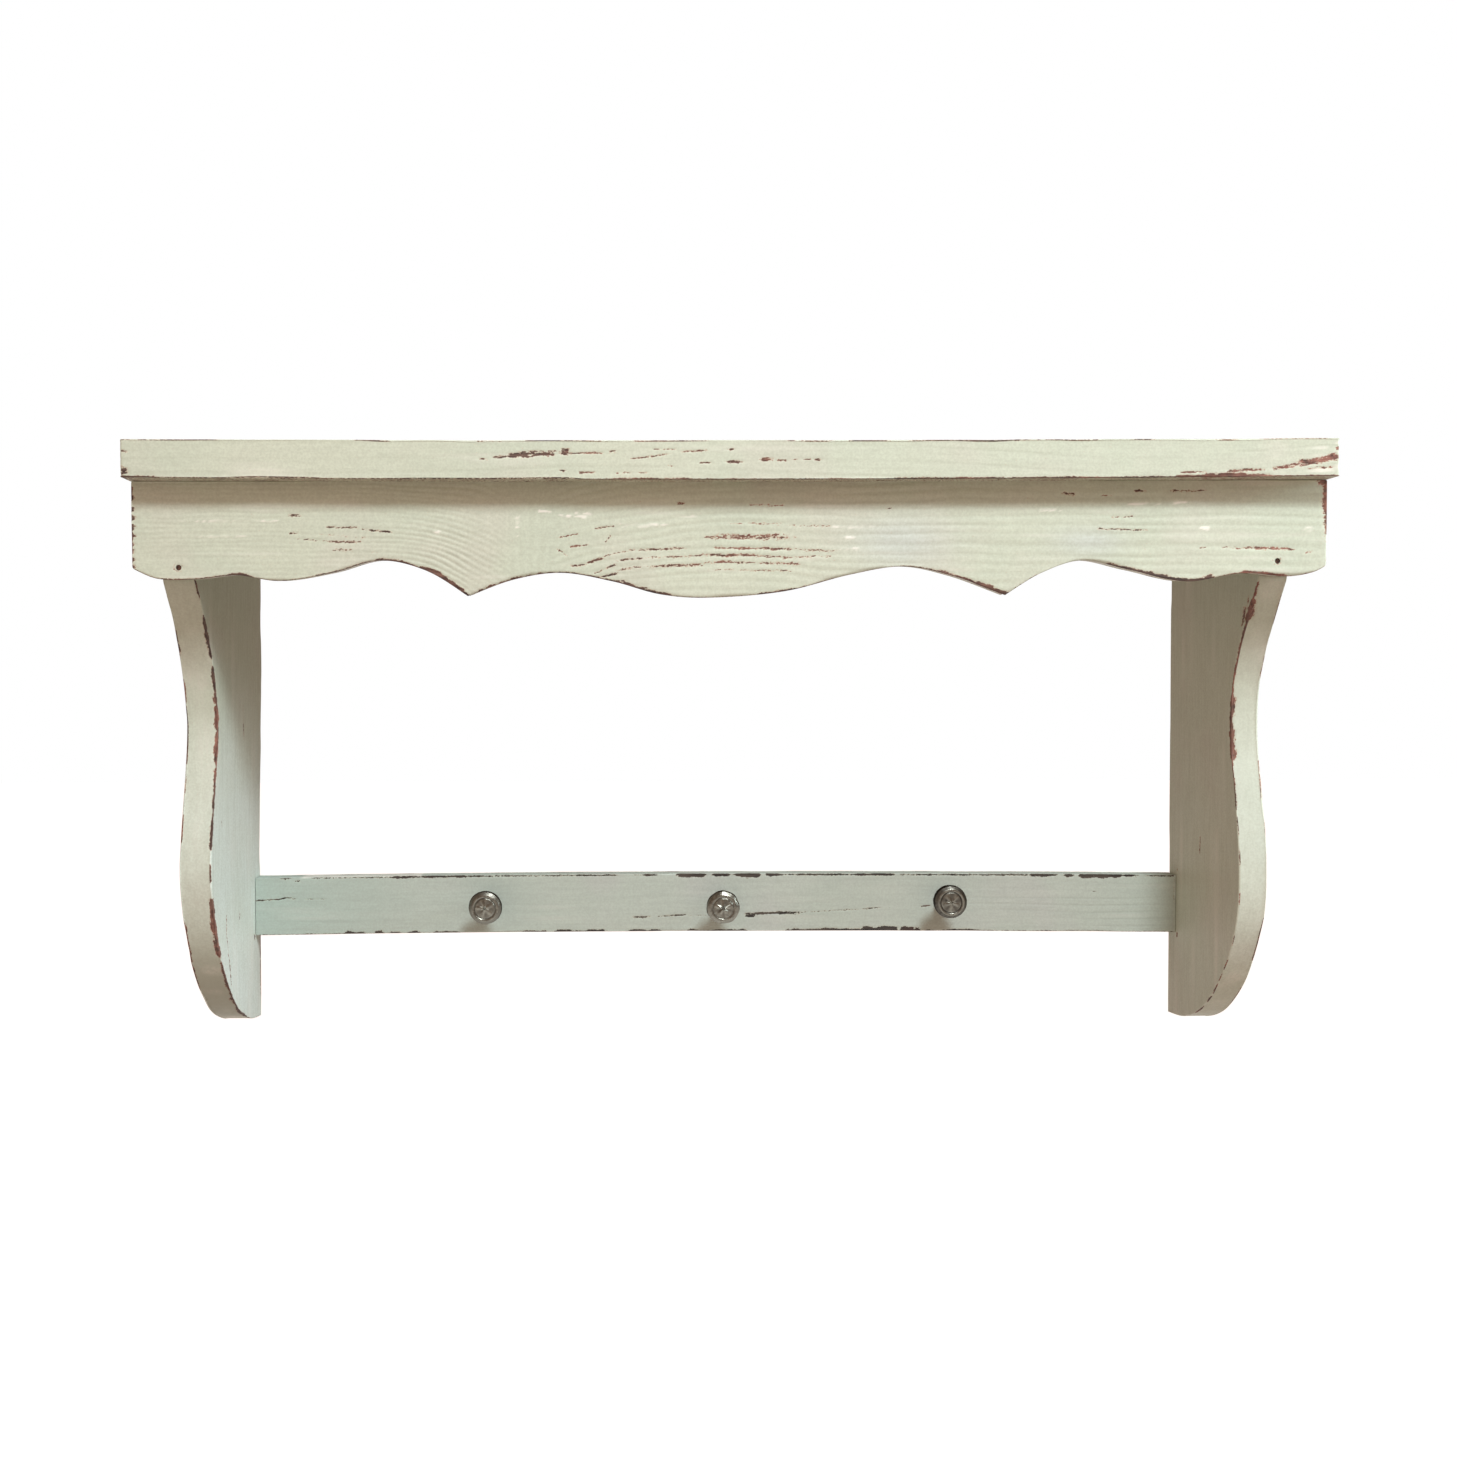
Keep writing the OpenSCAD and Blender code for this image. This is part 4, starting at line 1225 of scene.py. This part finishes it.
def make_world():
    """White behind the object, and a dim warm light on it, mostly from in front and above."""
    world = bpy.data.worlds.new("studio")
    world.use_nodes = True
    tree = world.node_tree
    tree.nodes.clear()
    out = tree.nodes.new("ShaderNodeOutputWorld")
    white = tree.nodes.new("ShaderNodeBackground")
    white.inputs["Color"].default_value = (1, 1, 1, 1)
    white.inputs["Strength"].default_value = 1.0
    fill = tree.nodes.new("ShaderNodeBackground")
    fill.inputs["Color"].default_value = (0.42, 0.308, 0.244, 1)
    ray = tree.nodes.new("ShaderNodeTexCoord")
    slope = tree.nodes.new("ShaderNodeVectorMath")
    slope.operation = "DOT_PRODUCT"
    slope.inputs[1].default_value = (-0.14, -0.5, 0.12)
    level = tree.nodes.new("ShaderNodeMath")
    level.inputs[1].default_value = 0.88
    tree.links.new(ray.outputs["Generated"], slope.inputs[0])
    tree.links.new(slope.outputs["Value"], level.inputs[0])
    tree.links.new(level.outputs[0], fill.inputs["Strength"])
    path = tree.nodes.new("ShaderNodeLightPath")
    pick = tree.nodes.new("ShaderNodeMixShader")
    tree.links.new(path.outputs["Is Camera Ray"], pick.inputs[0])
    tree.links.new(fill.outputs[0], pick.inputs[1])
    tree.links.new(white.outputs[0], pick.inputs[2])
    tree.links.new(pick.outputs[0], out.inputs[0])
    bpy.context.scene.world = world


def make_camera():
    """It is a little left of the middle and below the shelf board, in metres; its angles are degrees."""
    data = bpy.data.cameras.new("camera")
    data.sensor_width = 36
    data.lens = 32.16
    data.shift_x = 0.0579
    data.shift_y = -0.0132
    camera = link("camera", data)
    yaw, pitch, roll = (math.radians(angle) for angle in (-0.41, -1.42, 0.13))
    turn = Matrix.Rotation(yaw, 3, "Z") @ Matrix.Rotation(pitch, 3, "X") @ Matrix.Rotation(roll, 3, "Y")
    right, ahead, up = turn.col[0], turn.col[1], turn.col[2]
    view = Matrix((right, up, -ahead)).transposed().to_4x4()
    view.translation = Vector((-0.0496, -0.7991, -0.0730))
    camera.matrix_world = view
    bpy.context.scene.camera = camera


# ---------------------------------------------------------------- the scene

make_camera()
make_world()
make_light()
make_floor()
bpy.context.scene.view_settings.view_transform = "Standard"

brown_wood = (linear(203, 164, 138), linear(60, 44, 38), linear(104, 80, 68))
grey_wood = (linear(192, 184, 160), linear(42, 37, 33), linear(74, 65, 57))
cream = worn_paint("cream_paint", 0, linear(212, 218, 198), linear(204, 213, 193),
                   linear(211, 211, 195), linear(164, 168, 148), linear(206, 214, 212), brown_wood)
# The brackets' paint: its chill tone is lighter than the paint itself, and it paints light on their lower
# parts.
upright_cream = worn_paint("upright_cream_paint", 2, linear(208, 214, 196), linear(200, 208, 189),
                           linear(206, 204, 190), linear(164, 168, 150), linear(224, 235, 228), brown_wood)
rail_green = worn_paint("rail_paint", 0, linear(189, 199, 188), linear(183, 195, 183),
                        linear(188, 192, 186), linear(150, 156, 148), linear(176, 193, 183), grey_wood)
nickel = cast_metal("antique_nickel")
zinc = plated_steel("zinc_plate", linear(160, 160, 156))
iron = rusty_iron("rusty_iron")
head_paint = painted_head("painted_screw_head")

make_shelf(cream)
make_apron(cream)
make_bracket("left", upright_cream)
make_bracket("right", upright_cream)
make_rail(rail_green)
make_knob("left", nickel, 0.5, 301, 0.1, 0.0, 0.7)
make_knob("middle", nickel, 1.57, 311, -0.05, 0.012, 1.0)
make_knob("right", nickel, 0.9, 321, 0.24, 0.0, 0.6)

for end in ("left", "right"):
    dress("keyhole_plate_" + end, zinc)
    dress("plate_screws_" + end, zinc)
    dress("shelf_screws_" + end, head_paint)
    dress("apron_nail_" + end, iron)
    dress("rail_nails_" + end, iron)
for knob in KNOBS:
    dress("knob_screw_" + knob, zinc)
    dress("knob_washer_" + knob, zinc)
dress("apron_pins", iron)
